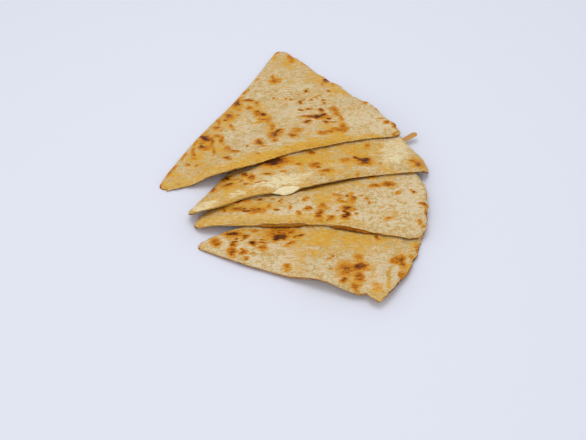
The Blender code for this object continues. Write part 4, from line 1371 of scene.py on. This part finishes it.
class Signal:
    """A socket of a material. Python's operators on it add Math nodes."""

    def __init__(self, tree, socket):
        self.tree = tree
        self.socket = socket

    @classmethod
    def node(cls, tree, kind, settings=None, sockets=None, output=0):
        """Adds a node with its settings and sockets, and returns one of its outputs."""
        made = tree.nodes.new(kind)
        for name, value in (settings or {}).items():
            setattr(made, name, value)
        for name, value in (sockets or {}).items():
            socket = made.inputs[name]
            if isinstance(value, Signal):
                tree.links.new(value.socket, socket)
            elif socket.type == "RGBA" and len(value) == 3:
                socket.default_value = (*value, 1.0)
            else:
                socket.default_value = value
        return cls(tree, made.outputs[output])

    def math(self, operation, first, second):
        """Adds a Math node."""
        sockets = {0: first, 1: second}
        return Signal.node(self.tree, "ShaderNodeMath", {"operation": operation}, sockets)

    def __add__(self, other):
        return self.math("ADD", self, other)

    def __radd__(self, other):
        return self.math("ADD", other, self)

    def __sub__(self, other):
        return self.math("SUBTRACT", self, other)

    def __rsub__(self, other):
        return self.math("SUBTRACT", other, self)

    def __mul__(self, other):
        return self.math("MULTIPLY", self, other)

    def __rmul__(self, other):
        return self.math("MULTIPLY", other, self)

    def between(self, low, high):
        """0 below low, 1 above high, and a soft rise between."""
        settings = {"interpolation_type": "SMOOTHSTEP"}
        sockets = {"Value": self, "From Min": low, "From Max": high}
        return Signal.node(self.tree, "ShaderNodeMapRange", settings, sockets)

    def blend(self, first, second):
        """first where this is 0, and second where it is 1. Both are colours."""
        settings = {"data_type": "RGBA"}
        sockets = {0: self, 6: first, 7: second}
        return Signal.node(self.tree, "ShaderNodeMix", settings, sockets, 2)


def new_finish(name):
    """A new material, its nodes, and the place of a point on its object."""
    finish = bpy.data.materials.new(name)
    finish.use_nodes = True
    tree = finish.node_tree
    spot = Signal.node(tree, "ShaderNodeTexCoord", output=3)
    return finish, tree, spot


def grain(tree, spot, size_mm, detail=2.0, roughness=0.5):
    """Noise from 0 to 1 whose lumps are about size_mm across."""
    sockets = {"Vector": spot, "Scale": 1 / (size_mm * MM)}
    sockets |= {"Detail": detail, "Roughness": roughness}
    return Signal.node(tree, "ShaderNodeTexNoise", None, sockets)


def stretched_grain(tree, spot, sizes_mm):
    """Noise whose lumps have their own length along each axis."""
    scale = tuple(1 / (size * MM) for size in sizes_mm)
    stretched = Signal.node(tree, "ShaderNodeMapping", None, {"Vector": spot, "Scale": scale})
    sockets = {"Vector": stretched, "Scale": 1.0, "Detail": 3.0}
    return Signal.node(tree, "ShaderNodeTexNoise", None, sockets)


def attribute(tree, name):
    """A value that each point of the mesh carries."""
    return Signal.node(tree, "ShaderNodeAttribute", {"attribute_name": name}, None, 2)


def connect(tree, colour, roughness, height, bump_mm, bump_strength):
    """Feeds the material's shader."""
    shader = tree.nodes["Principled BSDF"]
    tree.links.new(colour.socket, shader.inputs["Base Color"])
    tree.links.new(roughness.socket, shader.inputs["Roughness"])
    sockets = {"Height": height, "Distance": bump_mm * MM, "Strength": bump_strength}
    bump = Signal.node(tree, "ShaderNodeBump", None, sockets)
    tree.links.new(bump.socket, shader.inputs["Normal"])
    return shader


def tortilla_finish(settings):
    """Baked flour dough: cream, golden with oil, and browned by the pan."""
    finish, tree, spot = new_finish("toasted_flour_tortilla")
    coarse = grain(tree, spot, 9.0, detail=3.0) - 0.5
    middling = grain(tree, spot, 3.0, detail=4.0, roughness=0.65)
    fine = grain(tree, spot, 1.1, detail=3.0, roughness=0.65)
    streaked = stretched_grain(tree, spot, (6.0, 1.4, 2.0))
    wisps = stretched_grain(tree, spot, (2.8, 0.9, 1.2))
    middling_off, fine_off = middling - 0.5, fine - 0.5
    streaked_off, wisps_off = streaked - 0.5, wisps - 0.5
    names = ("toast", "cut", "groove", "pale", "oil", "smear")
    toast, cut, groove, floured, oiled, smeared = (attribute(tree, name) for name in names)

    pale = (floured + middling_off * 2.6 + fine_off * 0.8).between(0.25, 0.75)
    oil = oiled - floured * 0.5
    # Painted shade: the oily gold deepens in the grooves of the skin and fades on its ridges.
    soaked = oil + coarse * 1.6 + middling_off * 3.4 + streaked_off * 2.0 + groove * 0.35
    soaked = soaked.between(0.15, 0.9)
    smear = (smeared + middling_off * 1.2 + coarse * 0.6).between(0.2, 0.7)
    speckled = middling * 0.6 + fine * 0.4
    colour = speckled.between(0.44, 0.55).blend(settings.dough, settings.floury)
    colour = (soaked * 0.95).blend(colour, settings.oily)
    colour = (pale * 0.8).blend(colour, settings.floury)
    colour = (smear * 0.75).blend(colour, settings.smeared)

    bent_down = cut + streaked_off * 1.6 + fine_off * 0.8
    bent_down = bent_down * cut.between(0.05, 0.3) * (1 - smear * 0.8)
    colour = (bent_down.between(0.1, 0.75) * 0.8).blend(colour, settings.cut_edge)

    mixed = wisps * 0.6 + streaked * 0.4
    colour = ((0.5 - mixed).between(0.01, 0.1) * 0.6).blend(colour, settings.golden)
    dusted = (mixed - 0.5).between(0.01, 0.1) * (0.5 - soaked * 0.25)
    colour = dusted.blend(colour, settings.floury)
    mottled = speckled.between(0.5, 0.6) * soaked * 0.5
    colour = mottled.blend(colour, settings.golden)
    freckles = (middling * 0.5 + fine * 0.5).between(0.58, 0.66) * (0.25 + soaked * 0.5)
    colour = freckles.blend(colour, settings.toasted)

    # The toast value also holds painted shade at the cut edges and at the bend of a fold.
    wander = middling_off + fine_off * 0.8 + wisps_off * 1.1
    toasting = toast + wander * toast.between(0.05, 0.35)
    for name, start, full, share in TOASTING:
        colour = (toasting.between(start, full) * share).blend(colour, getattr(settings, name))
    roughness = 0.62 - soaked * 0.2 - smear * 0.3 + fine_off * 0.2
    height = middling * 0.5 + fine * 0.3 + streaked * 0.5 + wisps * 0.5
    shader = connect(tree, colour, roughness, height, bump_mm=0.9, bump_strength=0.8)
    shader.inputs["Specular IOR Level"].default_value = 0.12
    return finish


def cheese_finish(settings):
    """Melted cheese: glossy, pale where it is thick, and orange-brown where the pan crisped it and,
    as painted shade, where a cut gapes.
    """
    finish, tree, spot = new_finish("glossy_melted_cheese")
    coarse = grain(tree, spot, 6.0, detail=3.0)
    fine = grain(tree, spot, 1.2, detail=3.0)
    thick = (attribute(tree, "pale") * 0.7 + (coarse - 0.4) * 0.9).between(0.0, 0.8)
    colour = thick.blend(settings.golden, settings.pale)
    fried = (attribute(tree, "fried") + (coarse - 0.5) * 0.4).between(0.2, 0.8)
    colour = fried.blend(colour, settings.crisp)
    roughness = 0.3 + (fine - 0.5) * 0.2
    height = coarse * 0.6 + fine * 0.4
    shader = connect(tree, colour, roughness, height, bump_mm=0.8, bump_strength=0.6)
    shader.inputs["Coat Weight"].default_value = 0.12
    shader.inputs["Coat Roughness"].default_value = 0.15
    return finish


def floor_finish(colour):
    """A plain, pale, matt floor."""
    finish, tree, _ = new_finish("plain_floor")
    shader = tree.nodes["Principled BSDF"]
    shader.inputs["Base Color"].default_value = (*colour, 1.0)
    shader.inputs["Roughness"].default_value = 0.7
    return finish


def finish_named(name, make, settings):
    """The material of that name, made once."""
    return bpy.data.materials.get(name) or make(settings)


# Operators.


class QUESADILLA_OT_tortillas(bpy.types.Operator):
    """Model the toasted tortilla layers of all four slices."""

    bl_idname = "quesadilla.tortillas"
    bl_label = "Toasted tortillas"

    def execute(self, context):
        settings = context.scene.quesadilla_tortilla
        finish = finish_named("toasted_flour_tortilla", tortilla_finish, settings)
        undersides = stack_slices()
        for piece in LOWEST_FIRST:
            underside = undersides[piece.name]
            if piece.fold:
                layers = {"folded": (FOLDED_CELLS, folded_shape(piece, underside, settings))}
            else:
                layers = {
                    "bottom": (BOTTOM_CELLS, flat_shape(piece, underside, False, settings)),
                    "top": (TOP_CELLS, flat_shape(piece, underside, True, settings)),
                }
            for layer, (cells, shape) in layers.items():
                builder = bmesh.new()
                points, values = slab(builder, cells, TORTILLA_WALL_CUTS, shape)
                name = f"{piece.name}_{layer}_tortilla"
                finish_piece(name, builder, points, values, finish)
        return {"FINISHED"}


class QUESADILLA_OT_cheese(bpy.types.Operator):
    """Model the melted cheese of all four slices, with the crisp strand at slice 2's rim."""

    bl_idname = "quesadilla.cheese"
    bl_label = "Melted cheese"

    def execute(self, context):
        settings = context.scene.quesadilla_cheese
        finish = finish_named("glossy_melted_cheese", cheese_finish, settings)
        undersides = stack_slices()
        for piece in LOWEST_FIRST:
            underside = undersides[piece.name]
            builder = bmesh.new()
            shape = cheese_shape(piece, underside, settings.ooze)
            points, values = slab(builder, CHEESE_CELLS, CHEESE_WALL_CUTS, shape)
            if piece.name == "slice_2":
                points, values = add_strand(builder, piece, underside, points, values)
            finish_piece(f"{piece.name}_cheese", builder, points, values, finish)
        return {"FINISHED"}


def in_frame(point):
    """A point of the plan, in metres, where the frame has it."""
    return Vector((point[0] + CENTRE[0], point[1] + CENTRE[1], point[2])) * MM


def add_lamp(name, power):
    """Adds a round, soft lamp that shines at the middle of the stack."""
    position, size = LAMPS[name]
    lamp = bpy.data.lights.new(name, "AREA")
    lamp.shape = "DISK"
    lamp.size = size
    lamp.energy = power
    lamp.color = LAMP_COLOUR
    light = bpy.data.objects.new(name, lamp)
    light.location = position
    light.rotation_euler = (-Vector(position)).to_track_quat("-Z", "Y").to_euler()
    bpy.context.scene.collection.objects.link(light)


def camera_placement():
    """The matrix of the camera, which looks at the target with a slight roll."""
    eye, target = in_frame(EYE), in_frame(TARGET)
    back = (eye - target).normalized()
    right = Vector((0.0, 0.0, 1.0)).cross(back).normalized()
    up = back.cross(right)
    roll = math.radians(ROLL_DEG)
    rolled_right = right * math.cos(roll) + up * math.sin(roll)
    rolled_up = up * math.cos(roll) - right * math.sin(roll)
    turned = Matrix((rolled_right, rolled_up, back)).transposed().to_4x4()
    return Matrix.Translation(eye) @ turned


class QUESADILLA_OT_stage(bpy.types.Operator):
    """Set up the floor, the soft light and the camera."""

    bl_idname = "quesadilla.stage"
    bl_label = "Floor, light and camera"

    def execute(self, context):
        settings = context.scene.quesadilla_stage
        builder = bmesh.new()
        bmesh.ops.create_grid(builder, x_segments=1, y_segments=1, size=FLOOR_HALF)
        mesh = bpy.data.meshes.new("floor")
        builder.to_mesh(mesh)
        builder.free()
        mesh.materials.append(floor_finish(settings.floor))
        floor = bpy.data.objects.new("floor", mesh)
        context.scene.collection.objects.link(floor)

        world = bpy.data.worlds.new("soft_daylight")
        world.use_nodes = True
        background = world.node_tree.nodes["Background"]
        background.inputs["Color"].default_value = WORLD_COLOUR
        background.inputs["Strength"].default_value = WORLD_STRENGTH
        context.scene.world = world
        add_lamp("key", settings.key)
        add_lamp("fill", settings.fill)

        camera = bpy.data.objects.new("camera", bpy.data.cameras.new("camera"))
        camera.matrix_world = camera_placement()
        camera.data.sensor_fit = "HORIZONTAL"
        camera.data.sensor_width = SENSOR_MM
        camera.data.lens = LENS_MM
        camera.data.clip_start = 0.01
        context.scene.collection.objects.link(camera)
        context.scene.camera = camera
        context.scene.view_settings.view_transform = "Standard"
        return {"FINISHED"}


class QUESADILLA_PT_panel(bpy.types.Panel):
    """Sizes, colours and steps of the quesadilla."""

    bl_label = "Cheese Quesadilla"
    bl_idname = "QUESADILLA_PT_panel"
    bl_space_type = "VIEW_3D"
    bl_region_type = "UI"
    bl_category = "Quesadilla"

    def draw(self, context):
        for operator, settings in STEPS:
            box = self.layout.box()
            group = getattr(context.scene, settings)
            for name in group.bl_rna.properties.keys():
                if name not in ("rna_type", "name"):
                    box.prop(group, name)
            box.operator(operator.bl_idname)


STEPS = (
    (QUESADILLA_OT_tortillas, "quesadilla_tortilla"),
    (QUESADILLA_OT_cheese, "quesadilla_cheese"),
    (QUESADILLA_OT_stage, "quesadilla_stage"),
)
SETTINGS = {
    "quesadilla_tortilla": TortillaSettings,
    "quesadilla_cheese": CheeseSettings,
    "quesadilla_stage": StageSettings,
}
CLASSES = (*SETTINGS.values(), *(operator for operator, _ in STEPS), QUESADILLA_PT_panel)


def register():
    for one in CLASSES:
        bpy.utils.register_class(one)
    for name, group in SETTINGS.items():
        setattr(bpy.types.Scene, name, bpy.props.PointerProperty(type=group))


def unregister():
    for name in SETTINGS:
        delattr(bpy.types.Scene, name)
    for one in reversed(CLASSES):
        bpy.utils.unregister_class(one)


def main():
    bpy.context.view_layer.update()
    register()
    bpy.ops.quesadilla.stage()
    bpy.ops.quesadilla.tortillas()
    bpy.ops.quesadilla.cheese()


if __name__ == "__main__":
    main()
